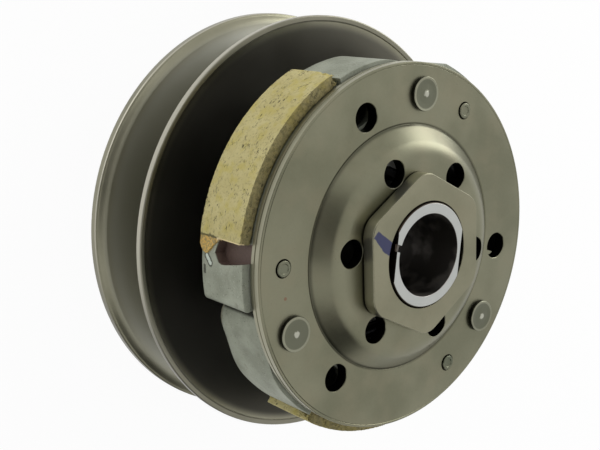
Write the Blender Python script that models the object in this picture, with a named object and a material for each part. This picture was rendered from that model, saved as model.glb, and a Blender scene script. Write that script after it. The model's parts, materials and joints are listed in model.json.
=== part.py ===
"""Centrifugal clutch with its driven pulley, built standing on the pulley's back rim.

Units are metres, +Z runs along the shaft towards the clutch nut, and z = 0 is the plane of the back rim.
"""

import math

import bmesh
import bpy
from mathutils import Matrix, Vector

# General sizes

CLEARANCE = 0.0003  # gap between pieces that touch or are pressed together
DISC_STEPS = 48  # facets round the large discs
HUB_STEPS = 24  # facets round hub-sized rings
PIN_STEPS = 12  # facets round pins and small holes
SHOE_COUNT = 3
SHOE_PITCH = math.tau / SHOE_COUNT

# Pulley faces

PULLEY_RADIUS = 0.0600
RIM_THICKNESS = 0.0032
CONE_THICKNESS = 0.0024
GROOVE_FLOOR_WIDTH = 0.0025  # between the faces at the movable hub, with the pulley closed
GROOVE_HALF_ANGLE = math.radians(14.0)
RIM_ROUND = 0.0011
RIM_FLAT = 0.0045  # width of the flat back rim that the part stands on
LIP_WIDTH = 0.0015  # flat front lip of the movable face
LIP_ROUND = 0.0005
FACE_OPENING = 0.0105  # travel of the movable face
FACE_TWIST = math.radians(30.0)  # turn of the movable face over that travel
BOSS_WALL = 0.0082  # metal of the fixed face round the sleeve
BOSS_TAPER = 0.0015
SEAT_STEP_DEPTH = 0.0051  # metal of the movable face under the collar
SEAT_STEP_TAPER = 0.0005

# Hub sleeve

SLEEVE_RADIUS = 0.0170
SLEEVE_FLANGE_WIDTH = 0.0060
SLEEVE_FLANGE_THICKNESS = 0.0030
SLEEVE_BACK = 0.0010  # height of the sleeve's back end over the rim plane
HUB_RUN_OUT = 0.00315  # left between the opened movable hub and the carrier plate
THREAD_STEP = 0.0031  # of the threaded end under the sleeve's own radius
THREAD_CHAMFER = 0.00045
FLAT_DEPTH = 0.00193
FLAT_ANGLE = math.radians(12.8)
NUT_PROUD = 0.0005  # the sleeve's end stands this far out of the nut
FRONT_WALL = 0.0060
BEARING_WALL = 0.0028
BORE_CHAMFER = 0.0005

# Bearings in the hub sleeve

NEEDLE_LENGTH = 0.0180
NEEDLE_SPACE = 0.0040  # from the needles' inside to the sleeve's bore
NEEDLE_RADIUS = 0.0010
NEEDLE_COUNT = 10
SHELL_WALL = 0.0013
BALL_BEARING_WIDTH = 0.0070
BALL_BEARING_FRONT = 0.0310
RACE_WALL = 0.0018
RACE_GROOVE = 0.0008
BALL_BEARING_SECTION = 0.0067  # from the inner race's bore to the sleeve's bore
BALL_RADIUS = 0.0017
BALL_COUNT = 7
CIRCLIP_THICKNESS = 0.0010
CIRCLIP_WIDTH = 0.0018
CIRCLIP_GROOVE = 0.0008

# Movable face hub, cam slots, seals and collar

MOVABLE_HUB_WALL = 0.0067
MOVABLE_HUB_END = 0.0042  # from the upper O-ring to the hub's front end
SEAL_WIDTH = 0.0036
SEAL_WALL = 0.0032
SEAL_LIP_WALL = 0.0012
GUIDE_PIN_RADIUS = 0.0024
GUIDE_ROLLER_WALL = 0.0012
GUIDE_PIN_SEAT = 0.0050  # length of a guide pin inside the sleeve
GUIDE_COUNT = 3
GUIDE_ANGLE = math.radians(40.8)
O_RING_RADIUS = 0.0009
O_RING_SQUEEZE = 0.0001
O_RING_RISE = 0.0017  # of the lower O-ring over the collar's seat
SLOT_MARGIN = 0.0016  # from a cam slot's end to the middle of the O-ring beside it
COLLAR_WALL = 0.0014
COLLAR_SETBACK = 0.0005  # of the collar's front edge from the hub's
COLLAR_EDGE = 0.0004
FLANGE_OVERHANG = 0.0026  # of the collar's flange past the main spring
FLANGE_ROOM = 0.0015

# Main spring and its seat

SPRING_WIRE = 0.0019  # wire radius
SPRING_GAP = 0.0009  # between the collar and the spring
SPRING_TURNS = 4.5
SPRING_SIDES = 6
SPRING_STEPS = 14  # points in a turn
SEAT_DEPTH = 0.00465  # of the spring seat's lower face under the sleeve's shoulder
SEAT_GAP = 0.0005  # between the collar and the spring seat
SEAT_BRIM = 0.0012
SEAT_TOP_WIDTH = 0.0005

# Carrier plate

PLATE_MARGIN = 0.0081  # from the pivots' circle to the plate's edge
PLATE_THICKNESS = 0.00325
PLATE_EDGE_ROUND = 0.0011
DOME_HEIGHT = 0.0046
DOME_FOOT_OUTSIDE = 0.0047  # of the dome's foot from the middle of the spring's wire
DOME_FOOT_ROUND = 0.0012
DOME_TOP_INSIDE = 0.0009
DOME_TOP_ROUND = 0.0040
HOLE_ANGLE = math.radians(131.0)
DOME_HOLE_COUNT = 6
DOME_HOLE_RADIUS = 0.00367
DOME_HOLE_INSET = 0.00417  # from the dome's top radius
RIM_HOLE_RADIUS = 0.0037
RIM_HOLE_INSET = 0.0023  # from the pivots' circle

# Clutch nut

NUT_WALL = 0.0056  # from the thread to a flat
NUT_THICKNESS = 0.0040
NUT_CORNER_ROUND = 0.0060
NUT_ANGLE = math.radians(22.0)
NUT_EDGE_BEVEL = 0.0005

# Pivot pins, side plate and clips

PIVOT_OUTSIDE = 0.0074  # of the pivots from the shoes' inner side
PIVOT_ANGLE = math.radians(100.8)
PIVOT_RADIUS = 0.0040
PIVOT_HEAD_RADIUS = 0.00455
PIVOT_HEAD_HEIGHT = 0.0011
PIN_EDGE = 0.0003
PIVOT_TAIL_RADIUS = 0.0030
PIVOT_TAIL_END = 0.0011  # of the pin past its clip groove
PIVOT_GROOVE_DEPTH = 0.0009
SIDE_PLATE_STEPS = 36
SIDE_PLATE_THICKNESS = 0.0015
SIDE_PLATE_BAND = 0.0032
SIDE_PLATE_EYE_WALL = 0.0027
CLIP_THICKNESS = 0.0008
CLIP_WIDTH = 0.0024
CLIP_MOUTH = math.radians(70.0)

# Shoes and linings, angles measured from each shoe's own pivot

SHOE_WIDTH = 0.01675
SHOE_GAP = 0.0005  # between the plate's back and the shoes
SHOE_ROOM = 0.0033  # between the main spring and the shoes
SHOE_BOSS_WALL = 0.0029
SHOE_TOE_RADIUS = 0.0501
SHOE_HEEL_RADIUS = 0.0511
SHOE_END_ROUND = 0.0015
SHOE_TRAVEL = math.radians(3.5)
HEEL_END = math.radians(108.2)
TOE_RISE_END = math.radians(17.0)
LINING_START = math.radians(32.5)
LINING_END = math.radians(89.2)
LINING_RADIUS = 0.0519
LINING_THICKNESS = 0.0035
LINING_WIDTH = 0.0164
LINING_SETBACK = 0.0007  # of the lining's front side from the shoe's
LINING_STEPS = 8
LINING_BEVEL = 0.0006
RECESS_END = math.radians(95.0)
RECESS_WIDTH = 0.0104
POCKET_START = math.radians(22.0)
POCKET_END = math.radians(39.0)
POCKET_INSIDE = 0.0005  # from the pivots' circle in to the pocket's middle
POCKET_HALF_WIDTH = 0.0048
POCKET_DEPTH = 0.0078

# Damper pins and rubbers

DAMPER_ANGLE = math.radians(95.7)
DAMPER_OUTSIDE = 0.0004  # from the pivots' circle
DAMPER_PIN_RADIUS = 0.0021
DAMPER_PIN_PROUD = 0.0005
DAMPER_RUBBER_WALL = 0.0012
DAMPER_LENGTH = 0.0080

# Shoe springs

HOOK_HEEL_ANGLE = math.radians(-22.8)  # hook in the shoe behind, from this shoe's pivot
HOOK_HEEL_INSET = 0.0023  # from the shoes' inner side
HOOK_TOE_ANGLE = math.radians(23.2)
HOOK_TOE_INSET = 0.0031
SHOE_SPRING_RADIUS = 0.0017
SHOE_SPRING_WIRE = 0.0005
SHOE_SPRING_TURNS = 5
SHOE_SPRING_SHARE = 0.56  # share of the hook distance that is coiled
SHOE_SPRING_STEPS = 6
HOOK_DEPTH = 0.0025
SPRING_POCKET_HALF_WIDTH = 0.0026
SPRING_POCKET_DEPTH = 0.0057

# Sizes that follow from the ones above

GROOVE_SLOPE = math.tan(GROOVE_HALF_ANGLE)
THREAD_RADIUS = SLEEVE_RADIUS - THREAD_STEP
FLAT_DISTANCE = THREAD_RADIUS - FLAT_DEPTH
FRONT_BORE_RADIUS = SLEEVE_RADIUS - FRONT_WALL
BEARING_BORE_RADIUS = SLEEVE_RADIUS - BEARING_WALL
NEEDLE_BORE_RADIUS = BEARING_BORE_RADIUS - NEEDLE_SPACE
INNER_RACE_BORE = BEARING_BORE_RADIUS - BALL_BEARING_SECTION
GUIDE_PIN_INNER = SLEEVE_RADIUS - GUIDE_PIN_SEAT
MOVABLE_BORE = SLEEVE_RADIUS + CLEARANCE
MOVABLE_HUB_RADIUS = MOVABLE_BORE + MOVABLE_HUB_WALL
MOVABLE_FACE_BORE = MOVABLE_HUB_RADIUS + CLEARANCE
CONE_RUN = (PULLEY_RADIUS - MOVABLE_FACE_BORE) * GROOVE_SLOPE  # rise of a cone from its bore to its rim
MOVABLE_RIM = RIM_THICKNESS + 2 * CONE_RUN + GROOVE_FLOOR_WIDTH  # belt side of the movable rim
BELT_FLOOR = RIM_THICKNESS + (PULLEY_RADIUS - MOVABLE_BORE) * GROOVE_SLOPE
SEAL_RADIUS = MOVABLE_BORE + SEAL_WALL
GUIDE_ROLLER_BORE = GUIDE_PIN_RADIUS + CLEARANCE
GUIDE_ROLLER_RADIUS = GUIDE_ROLLER_BORE + GUIDE_ROLLER_WALL
SLOT_HALF_WIDTH = GUIDE_ROLLER_RADIUS + CLEARANCE
SLOT_RUN = FACE_OPENING + CLEARANCE
GUIDE_PIN_OUTER = MOVABLE_HUB_RADIUS - CLEARANCE
SEAT_STEP_HEIGHT = MOVABLE_RIM - CONE_RUN + SEAT_STEP_DEPTH
LOWER_RING = SEAT_STEP_HEIGHT + O_RING_RISE
GUIDE_HEIGHT = LOWER_RING + SLOT_MARGIN + SLOT_HALF_WIDTH + SLOT_RUN
UPPER_RING = GUIDE_HEIGHT + SLOT_HALF_WIDTH + SLOT_MARGIN
MOVABLE_HUB_TOP = UPPER_RING + MOVABLE_HUB_END
COLLAR_RADIUS = MOVABLE_FACE_BORE + COLLAR_WALL
SPRING_RADIUS = COLLAR_RADIUS + SPRING_GAP + SPRING_WIRE  # to the middle of the wire
COLLAR_FLANGE_RADIUS = SPRING_RADIUS + SPRING_WIRE + FLANGE_OVERHANG
SEAT_STEP_RADIUS = COLLAR_FLANGE_RADIUS + FLANGE_ROOM
SHOULDER_HEIGHT = MOVABLE_HUB_TOP + FACE_OPENING + HUB_RUN_OUT  # seat of the carrier plate
SEAT_HEIGHT = SHOULDER_HEIGHT - SEAT_DEPTH
PLATE_TOP = SHOULDER_HEIGHT + PLATE_THICKNESS  # top of the dome
PLATE_FRONT = PLATE_TOP - DOME_HEIGHT  # flat front of the plate's rim
PLATE_BACK = PLATE_FRONT - PLATE_THICKNESS
NUT_TOP = PLATE_TOP + NUT_THICKNESS
SLEEVE_TOP = NUT_TOP + NUT_PROUD
SHOE_FRONT = PLATE_BACK - SHOE_GAP
SHOE_BACK = SHOE_FRONT - SHOE_WIDTH
SHOE_INNER_RADIUS = SPRING_RADIUS + SPRING_WIRE + SHOE_ROOM
PIVOT_CIRCLE = SHOE_INNER_RADIUS + PIVOT_OUTSIDE
DAMPER_CIRCLE = PIVOT_CIRCLE + DAMPER_OUTSIDE
PLATE_RADIUS = PIVOT_CIRCLE + PLATE_MARGIN
RIM_HOLE_CIRCLE = PIVOT_CIRCLE - RIM_HOLE_INSET
DOME_FOOT_RADIUS = SPRING_RADIUS + DOME_FOOT_OUTSIDE
DOME_TOP_RADIUS = SPRING_RADIUS - DOME_TOP_INSIDE
DOME_HOLE_CIRCLE = DOME_TOP_RADIUS - DOME_HOLE_INSET
NUT_ACROSS_FLATS = 2 * (THREAD_RADIUS + NUT_WALL)
SHOE_BOSS_RADIUS = PIVOT_RADIUS + CLEARANCE + SHOE_BOSS_WALL
SEAT_RADIUS = LINING_RADIUS - LINING_THICKNESS - CLEARANCE  # shoe surface under the lining
LINING_FRONT = SHOE_FRONT - LINING_SETBACK
POCKET_CIRCLE = PIVOT_CIRCLE - POCKET_INSIDE
SIDE_PLATE_HIGH = SHOE_BACK - CLEARANCE
SIDE_PLATE_LOW = SIDE_PLATE_HIGH - SIDE_PLATE_THICKNESS
CLIP_HIGH = SIDE_PLATE_LOW - CLEARANCE
CLIP_LOW = CLIP_HIGH - CLIP_THICKNESS
CLIP_INNER_RADIUS = PIVOT_TAIL_RADIUS - PIVOT_GROOVE_DEPTH + CLEARANCE


# Materials

def steel(name, colour, roughness, metallic=1.0):
    """Returns a Principled material with one colour."""
    material = bpy.data.materials.new(name)
    material.use_nodes = True
    shader = material.node_tree.nodes["Principled BSDF"]
    shader.inputs["Base Color"].default_value = (*colour, 1.0)
    shader.inputs["Roughness"].default_value = roughness
    shader.inputs["Metallic"].default_value = metallic
    return material


def make_materials():
    """Returns the materials by name, in linear colours read off the photo."""
    return {
        "pulley": steel("pulley_steel", (0.23, 0.23, 0.17), 0.34),
        "sleeve": steel("sleeve_ground_steel", (0.55, 0.56, 0.55), 0.22),
        "plate": steel("plate_steel", (0.18, 0.18, 0.13), 0.38),
        "shoe": steel("shoe_cast_aluminium", (0.30, 0.32, 0.29), 0.55),
        "lining": steel("lining_friction", (0.45, 0.40, 0.19), 0.85, 0.0),
        "spring": steel("spring_steel", (0.10, 0.10, 0.10), 0.40),
        "bearing": steel("bearing_steel", (0.50, 0.50, 0.52), 0.18),
        "rubber": steel("seal_rubber", (0.02, 0.02, 0.02), 0.70, 0.0),
        "polymer": steel("seat_polymer", (0.04, 0.04, 0.045), 0.60, 0.0),
        "zinc": steel("zinc_plated_steel", (0.40, 0.40, 0.36), 0.32),
    }


# Basic shapes

def finish(name, mesh_data, material):
    """Writes a bmesh to a new object at the world's origin, smooth where it is round."""
    bmesh.ops.recalc_face_normals(mesh_data, faces=mesh_data.faces)
    mesh = bpy.data.meshes.new(name)
    mesh_data.to_mesh(mesh)
    mesh_data.free()
    mesh.shade_smooth()
    mesh.set_sharp_from_angle(angle=math.radians(32.0))
    solid = bpy.data.objects.new(name, mesh)
    bpy.context.collection.objects.link(solid)
    if material is not None:
        mesh.materials.append(material)
    return solid


def rounded(corners, steps=2):
    """Rounds a closed outline.

    Each corner is (x, y) or (x, y, radius). A radius is kept within what its two sides allow.
    """
    points = []
    count = len(corners)
    for index, corner in enumerate(corners):
        here = Vector(corner[:2])
        radius = corner[2] if len(corner) > 2 else 0.0
        if radius <= 0.0:
            points.append(here)
            continue
        before = Vector(corners[index - 1][:2]) - here
        after = Vector(corners[(index + 1) % count][:2]) - here
        half = before.angle(after) / 2.0
        reach = min(radius / math.tan(half), before.length * 0.49, after.length * 0.49)
        radius = reach * math.tan(half)
        middle = here + (before.normalized() + after.normalized()).normalized() * radius / math.sin(half)
        first = here + before.normalized() * reach - middle
        last = here + after.normalized() * reach - middle
        turn = first.angle_signed(last)
        for step in range(steps + 1):
            spoke = first.copy()
            spoke.rotate(Matrix.Rotation(-turn * step / steps, 2))
            points.append(middle + spoke)
    return points


def revolve(name, profile, material, steps=HUB_STEPS):
    """Turns a closed (radius, height) profile round the Z axis."""
    mesh_data = bmesh.new()
    ring = [mesh_data.verts.new((point[0], 0.0, point[1])) for point in profile]
    edges = [mesh_data.edges.new((ring[index - 1], ring[index])) for index in range(len(ring))]
    bmesh.ops.spin(mesh_data, geom=ring + edges, axis=(0, 0, 1), cent=(0, 0, 0), angle=math.tau,
                   steps=steps, use_merge=True)
    bmesh.ops.remove_doubles(mesh_data, verts=mesh_data.verts, dist=1e-7)
    return finish(name, mesh_data, material)


def extrude(name, outline, low, high, material):
    """Extrudes a flat outline in the XY plane from one height to another."""
    mesh_data = bmesh.new()
    face = mesh_data.faces.new([mesh_data.verts.new((point[0], point[1], low)) for point in outline])
    grown = bmesh.ops.extrude_face_region(mesh_data, geom=[face])
    moved = [item for item in grown["geom"] if isinstance(item, bmesh.types.BMVert)]
    bmesh.ops.translate(mesh_data, verts=moved, vec=(0, 0, high - low))
    return finish(name, mesh_data, material)


def cylinder(name, radius, low, high, centre=(0.0, 0.0), steps=PIN_STEPS, material=None):
    """Makes an upright cylinder."""
    return extrude(name, arc(centre, radius, 0.0, math.tau, steps, closed=True), low, high, material)


def sweep(name, path, radius, sides, material):
    """Sweeps a round wire along a path and closes its ends."""
    mesh_data = bmesh.new()
    rings = []
    side = None
    for index, point in enumerate(path):
        ahead = path[min(index + 1, len(path) - 1)]
        behind = path[max(index - 1, 0)]
        tangent = (ahead - behind).normalized()
        if side is None:
            side = tangent.orthogonal().normalized()
        side = (side - tangent * side.dot(tangent)).normalized()
        other = tangent.cross(side)
        ring = []
        for step in range(sides):
            angle = math.tau * step / sides
            ring.append(mesh_data.verts.new(point + (side * math.cos(angle) + other * math.sin(angle)) * radius))
        rings.append(ring)
    for first, second in zip(rings, rings[1:]):
        for step in range(sides):
            following = (step + 1) % sides
            mesh_data.faces.new((first[step], first[following], second[following], second[step]))
    mesh_data.faces.new(rings[0])
    mesh_data.faces.new(rings[-1])
    return finish(name, mesh_data, material)


def polar(radius, angle):
    """Returns the flat point at a radius and an angle."""
    return Vector((radius * math.cos(angle), radius * math.sin(angle)))


def arc(centre, radius, start, end, steps, closed=False):
    """Returns the points of an arc; a closed one leaves out its last point."""
    middle = Vector(centre)
    count = steps if closed else steps + 1
    return [middle + polar(radius, start + (end - start) * step / steps) for step in range(count)]


def capsule(first, second, half_width, steps=PIN_STEPS):
    """Returns the outline of a slot with round ends between two flat points."""
    heading = math.atan2(second.y - first.y, second.x - first.x)
    half = steps // 2
    start = arc(first, half_width, heading + math.pi / 2, heading + 1.5 * math.pi, half)
    return start + arc(second, half_width, heading - math.pi / 2, heading + math.pi / 2, half)


def turned(solid, angle, name=None):
    """Turns a solid's mesh round the Z axis, as a copy with its own mesh if a name is given."""
    if name is not None:
        mesh = solid.data.copy()
        mesh.name = name
        copy = bpy.data.objects.new(name, mesh)
        bpy.context.collection.objects.link(copy)
        solid = copy
    solid.data.transform(Matrix.Rotation(angle, 4, "Z"))
    return solid


def with_origin(solid, point):
    """Moves an object's origin to a point, which a moving piece has on its joint's axis."""
    solid.data.transform(Matrix.Translation(-Vector(point)))
    solid.location = point
    return solid


def cut(solid, *cutters):
    """Cuts a solid with Boolean modifiers; the cutters stay as hidden guides."""
    for cutter in cutters:
        cutter.hide_render = True
        cutter.display_type = "WIRE"
        modifier = solid.modifiers.new("cut_" + cutter.name, "BOOLEAN")
        modifier.operation = "DIFFERENCE"
        modifier.object = cutter


def merge(solid, *additions):
    """Joins pieces that overlap a solid to it; the added shapes stay as hidden guides."""
    for addition in additions:
        addition.hide_render = True
        addition.display_type = "WIRE"
        modifier = solid.modifiers.new("add_" + addition.name, "BOOLEAN")
        modifier.operation = "UNION"
        modifier.object = addition


def belt_height(radius):
    """Height of the fixed face's belt side at a radius."""
    return RIM_THICKNESS + (PULLEY_RADIUS - radius) * GROOVE_SLOPE


def movable_belt_height(radius):
    """Height of the movable face's belt side at a radius, with the pulley closed."""
    return MOVABLE_RIM - (PULLEY_RADIUS - radius) * GROOVE_SLOPE


# Pulley faces and hub sleeve

def fixed_face(materials):
    """The back cone of the pulley, with its flat back rim and the boss round the sleeve."""
    boss_back = SLEEVE_BACK + SLEEVE_FLANGE_THICKNESS + CLEARANCE
    boss = MOVABLE_BORE + BOSS_WALL
    rim_inner = PULLEY_RADIUS - RIM_FLAT
    wall = CONE_THICKNESS / math.cos(GROOVE_HALF_ANGLE)
    step = belt_height(rim_inner) - wall
    profile = rounded([
        (MOVABLE_BORE, boss_back),
        (boss, boss_back),
        (boss + BOSS_TAPER, belt_height(boss + BOSS_TAPER) - wall),
        (rim_inner - step, belt_height(rim_inner - step) - wall),
        (rim_inner, 0.0),
        (PULLEY_RADIUS, 0.0, RIM_ROUND),
        (PULLEY_RADIUS, RIM_THICKNESS, RIM_ROUND),
        (MOVABLE_BORE, BELT_FLOOR),
    ])
    return revolve("fixed_pulley_face", profile, materials["pulley"], DISC_STEPS)


def hub_sleeve(materials):
    """The sleeve that carries everything, from its back flange to its threaded, flatted end."""
    flange_top = SLEEVE_BACK + SLEEVE_FLANGE_THICKNESS
    groove_low = BALL_BEARING_FRONT - BALL_BEARING_WIDTH - 2 * CLEARANCE - CIRCLIP_THICKNESS - CLEARANCE
    groove_high = groove_low + CIRCLIP_THICKNESS + 2 * CLEARANCE
    groove_radius = BEARING_BORE_RADIUS + CIRCLIP_GROOVE
    profile = [
        (BEARING_BORE_RADIUS + BORE_CHAMFER, SLEEVE_BACK),
        (SLEEVE_RADIUS + SLEEVE_FLANGE_WIDTH, SLEEVE_BACK),
        (SLEEVE_RADIUS + SLEEVE_FLANGE_WIDTH, flange_top),
        (SLEEVE_RADIUS, flange_top),
        (SLEEVE_RADIUS, SHOULDER_HEIGHT),
        (THREAD_RADIUS, SHOULDER_HEIGHT),
        (THREAD_RADIUS, SLEEVE_TOP - THREAD_CHAMFER),
        (THREAD_RADIUS - THREAD_CHAMFER, SLEEVE_TOP),
        (FRONT_BORE_RADIUS, SLEEVE_TOP),
        (FRONT_BORE_RADIUS, BALL_BEARING_FRONT + CLEARANCE),
        (BEARING_BORE_RADIUS, BALL_BEARING_FRONT + CLEARANCE),
        (BEARING_BORE_RADIUS, groove_high),
        (groove_radius, groove_high),
        (groove_radius, groove_low),
        (BEARING_BORE_RADIUS, groove_low),
        (BEARING_BORE_RADIUS, SLEEVE_BACK + BORE_CHAMFER),
    ]
    sleeve = revolve("hub_sleeve", profile, materials["sleeve"])
    cut(sleeve, *[flat_cutter("flat_cutter_%d" % side, side * math.pi) for side in range(2)])
    cut(sleeve, *[radial_cylinder("guide_hole_cutter_%d" % index, GUIDE_PIN_RADIUS + CLEARANCE,
                                  GUIDE_PIN_INNER - CLEARANCE, MOVABLE_HUB_RADIUS, guide_angle(index))
                  for index in range(GUIDE_COUNT)])
    return sleeve


def flat_cutter(name, turn):
    """A block that leaves one flat on the sleeve's threaded end."""
    depth = SLEEVE_RADIUS
    half = SLEEVE_RADIUS
    outline = [Vector((FLAT_DISTANCE, -half)), Vector((FLAT_DISTANCE + depth, -half)),
               Vector((FLAT_DISTANCE + depth, half)), Vector((FLAT_DISTANCE, half))]
    block = extrude(name, outline, SHOULDER_HEIGHT, SLEEVE_TOP + THREAD_CHAMFER, None)
    return turned(block, FLAT_ANGLE + turn)


def guide_angle(index):
    """Angle of a guide pin."""
    return GUIDE_ANGLE + math.tau * index / GUIDE_COUNT


def radial_cylinder(name, radius, inner, outer, angle, material=None):
    """A cylinder whose axis runs out from the shaft at the guide pins' height."""
    solid = cylinder(name, radius, inner, outer, material=material)
    lay = Matrix.Rotation(math.pi / 2, 4, "Y")
    lift = Matrix.Translation((0, 0, GUIDE_HEIGHT))
    solid.data.transform(Matrix.Rotation(angle, 4, "Z") @ lift @ lay)
    return solid


def slot_cutter(index):
    """A curved cutter with the shape that a roller sweeps in the movable hub as the face opens."""
    half_width = SLOT_HALF_WIDTH
    radii = (MOVABLE_BORE - MOVABLE_HUB_WALL / 2, MOVABLE_HUB_RADIUS + MOVABLE_HUB_WALL / 2)
    mean_radius = sum(radii) / 2
    twist = FACE_TWIST / FACE_OPENING * SLOT_RUN
    heading = Vector((-twist * mean_radius, -SLOT_RUN))
    length = heading.length
    heading.normalize()
    across = Vector((heading.y, -heading.x))
    end_steps = 4
    straight_steps = 6
    turns = [math.pi / 2 * step / end_steps for step in range(end_steps)]
    stations = [(0.0, -half_width * math.cos(turn), half_width * math.sin(turn)) for turn in turns]
    stations += [(length * step / straight_steps, 0.0, half_width) for step in range(straight_steps + 1)]
    stations += [(length, half_width * math.cos(turn), half_width * math.sin(turn)) for turn in turns[::-1]]
    mesh_data = bmesh.new()
    rings = []
    for along, beyond, width in stations:
        centre = heading * along
        ring = []
        for side, radius in ((-1, radii[0]), (-1, radii[1]), (1, radii[1]), (1, radii[0])):
            offset = heading * beyond + across * max(width, 1e-5) * side
            angle = guide_angle(index) + centre.x / mean_radius + math.asin(offset.x / radius)
            flat = polar(radius, angle)
            ring.append(mesh_data.verts.new((flat.x, flat.y, GUIDE_HEIGHT + centre.y + offset.y)))
        rings.append(ring)
    for first, second in zip(rings, rings[1:]):
        for corner in range(4):
            following = (corner + 1) % 4
            mesh_data.faces.new((first[corner], first[following], second[following], second[corner]))
    mesh_data.faces.new(rings[0])
    mesh_data.faces.new(rings[-1])
    return finish("slot_cutter_%d" % (index + 1), mesh_data, None)


def movable_face(materials):
    """The front cone of the pulley, with a narrow flat lip at its rim, brazed round its hub."""
    wall = CONE_THICKNESS / math.cos(GROOVE_HALF_ANGLE)
    lip = PULLEY_RADIUS - LIP_WIDTH
    lip_top = movable_belt_height(lip) + wall
    profile = rounded([
        (MOVABLE_FACE_BORE, SEAT_STEP_HEIGHT),
        (MOVABLE_FACE_BORE, movable_belt_height(MOVABLE_FACE_BORE)),
        (PULLEY_RADIUS, MOVABLE_RIM, LIP_ROUND),
        (PULLEY_RADIUS, lip_top, LIP_ROUND),
        (lip, lip_top),
        (SEAT_STEP_RADIUS, movable_belt_height(SEAT_STEP_RADIUS) + wall),
        (SEAT_STEP_RADIUS - SEAT_STEP_TAPER, SEAT_STEP_HEIGHT),
    ])
    return revolve("movable_pulley_face", profile, materials["pulley"], DISC_STEPS)


def movable_hub(materials):
    """The hub of the movable face, with its cam slots, seal pockets and O-ring grooves."""
    bottom = BELT_FLOOR + CLEARANCE
    pocket = SEAL_RADIUS + CLEARANCE
    pocket_low = bottom + SEAL_WIDTH + 2 * CLEARANCE
    pocket_high = MOVABLE_HUB_TOP - SEAL_WIDTH - 2 * CLEARANCE
    outside = []
    for height in (LOWER_RING, UPPER_RING):
        floor = MOVABLE_HUB_RADIUS - CLEARANCE - 2 * O_RING_RADIUS
        low = height - O_RING_RADIUS - CLEARANCE / 2
        high = height + O_RING_RADIUS + CLEARANCE / 2
        outside += [(MOVABLE_HUB_RADIUS, low), (floor, low), (floor, high), (MOVABLE_HUB_RADIUS, high)]
    profile = [
        (pocket, bottom),
        (MOVABLE_HUB_RADIUS, bottom),
        *outside,
        (MOVABLE_HUB_RADIUS, MOVABLE_HUB_TOP),
        (pocket, MOVABLE_HUB_TOP),
        (pocket, pocket_high),
        (MOVABLE_BORE, pocket_high),
        (MOVABLE_BORE, pocket_low),
        (pocket, pocket_low),
    ]
    hub = revolve("movable_hub", profile, materials["sleeve"])
    cut(hub, *[slot_cutter(index) for index in range(GUIDE_COUNT)])
    return hub


def guides(materials):
    """The guide pins in the sleeve and the rollers that run in the cam slots."""
    for index in range(GUIDE_COUNT):
        angle = guide_angle(index)
        radial_cylinder("guide_pin_%d" % (index + 1), GUIDE_PIN_RADIUS, GUIDE_PIN_INNER, GUIDE_PIN_OUTER,
                        angle, materials["bearing"])
        roller = radial_cylinder("guide_roller_%d" % (index + 1), GUIDE_ROLLER_RADIUS,
                                 SLEEVE_RADIUS + 2 * CLEARANCE, GUIDE_PIN_OUTER, angle, materials["bearing"])
        bore = radial_cylinder("roller_bore_cutter_%d" % (index + 1), GUIDE_ROLLER_BORE,
                               GUIDE_PIN_INNER, COLLAR_RADIUS, angle)
        cut(with_origin(roller, (0, 0, GUIDE_HEIGHT)), bore)


def seals(materials):
    """The two oil seals in the movable hub and the two O-rings on it."""
    bottom = BELT_FLOOR + 2 * CLEARANCE
    top = MOVABLE_HUB_TOP - CLEARANCE - SEAL_WIDTH
    for index, low in enumerate((bottom, top)):
        high = low + SEAL_WIDTH
        throat = MOVABLE_BORE + SEAL_LIP_WALL
        profile = [(throat, low), (SEAL_RADIUS, low), (SEAL_RADIUS, high), (throat, high),
                   (MOVABLE_BORE, (low + high) / 2)]
        revolve("oil_seal_%d" % (index + 1), profile, materials["rubber"])
    centre = MOVABLE_HUB_RADIUS - O_RING_RADIUS - CLEARANCE / 2 + O_RING_SQUEEZE
    for index, height in enumerate((LOWER_RING, UPPER_RING)):
        section = arc((centre, height), O_RING_RADIUS, 0.0, math.tau, 6, closed=True)
        revolve("o_ring_%d" % (index + 1), section, materials["rubber"])


def collar_and_spring(materials):
    """The flanged collar over the cam slots, the main spring on it and the seat under the plate."""
    inner = MOVABLE_FACE_BORE
    outer = COLLAR_RADIUS
    low = SEAT_STEP_HEIGHT + CLEARANCE
    top = MOVABLE_HUB_TOP - COLLAR_SETBACK
    flange_top = low + COLLAR_WALL
    profile = rounded([
        (inner, low),
        (COLLAR_FLANGE_RADIUS, low),
        (COLLAR_FLANGE_RADIUS, flange_top),
        (outer, flange_top),
        (outer - COLLAR_EDGE, top),
        (inner, top),
    ])
    revolve("spring_collar", profile, materials["zinc"])
    start = flange_top + CLEARANCE + SPRING_WIRE
    end = SEAT_HEIGHT - CLEARANCE - SPRING_WIRE
    dead = 2 * SPRING_WIRE + CLEARANCE  # rise of the closed turn at each end
    path = []
    count = round(SPRING_TURNS * SPRING_STEPS)
    for step in range(count + 1):
        turn = SPRING_TURNS * step / count
        if turn < 1.0:
            height = start + dead * turn
        elif turn > SPRING_TURNS - 1.0:
            height = end - dead * (SPRING_TURNS - turn)
        else:
            share = (turn - 1.0) / (SPRING_TURNS - 2.0)
            height = start + dead + (end - start - 2 * dead) * share
        flat = polar(SPRING_RADIUS, math.tau * turn)
        path.append(Vector((flat.x, flat.y, height)))
    sweep("main_spring", path, SPRING_WIRE, SPRING_SIDES, materials["spring"])
    revolve("spring_seat", spring_seat_profile(), materials["polymer"])


def dome_line(shift):
    """Returns the foot and the top of the dome's slope, shifted square to it into the metal."""
    foot = Vector((DOME_FOOT_RADIUS, PLATE_FRONT))
    top = Vector((DOME_TOP_RADIUS, PLATE_TOP))
    along = (top - foot).normalized()
    outwards = Vector((along.y, -along.x))
    return foot - outwards * shift, top - outwards * shift, along


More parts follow.
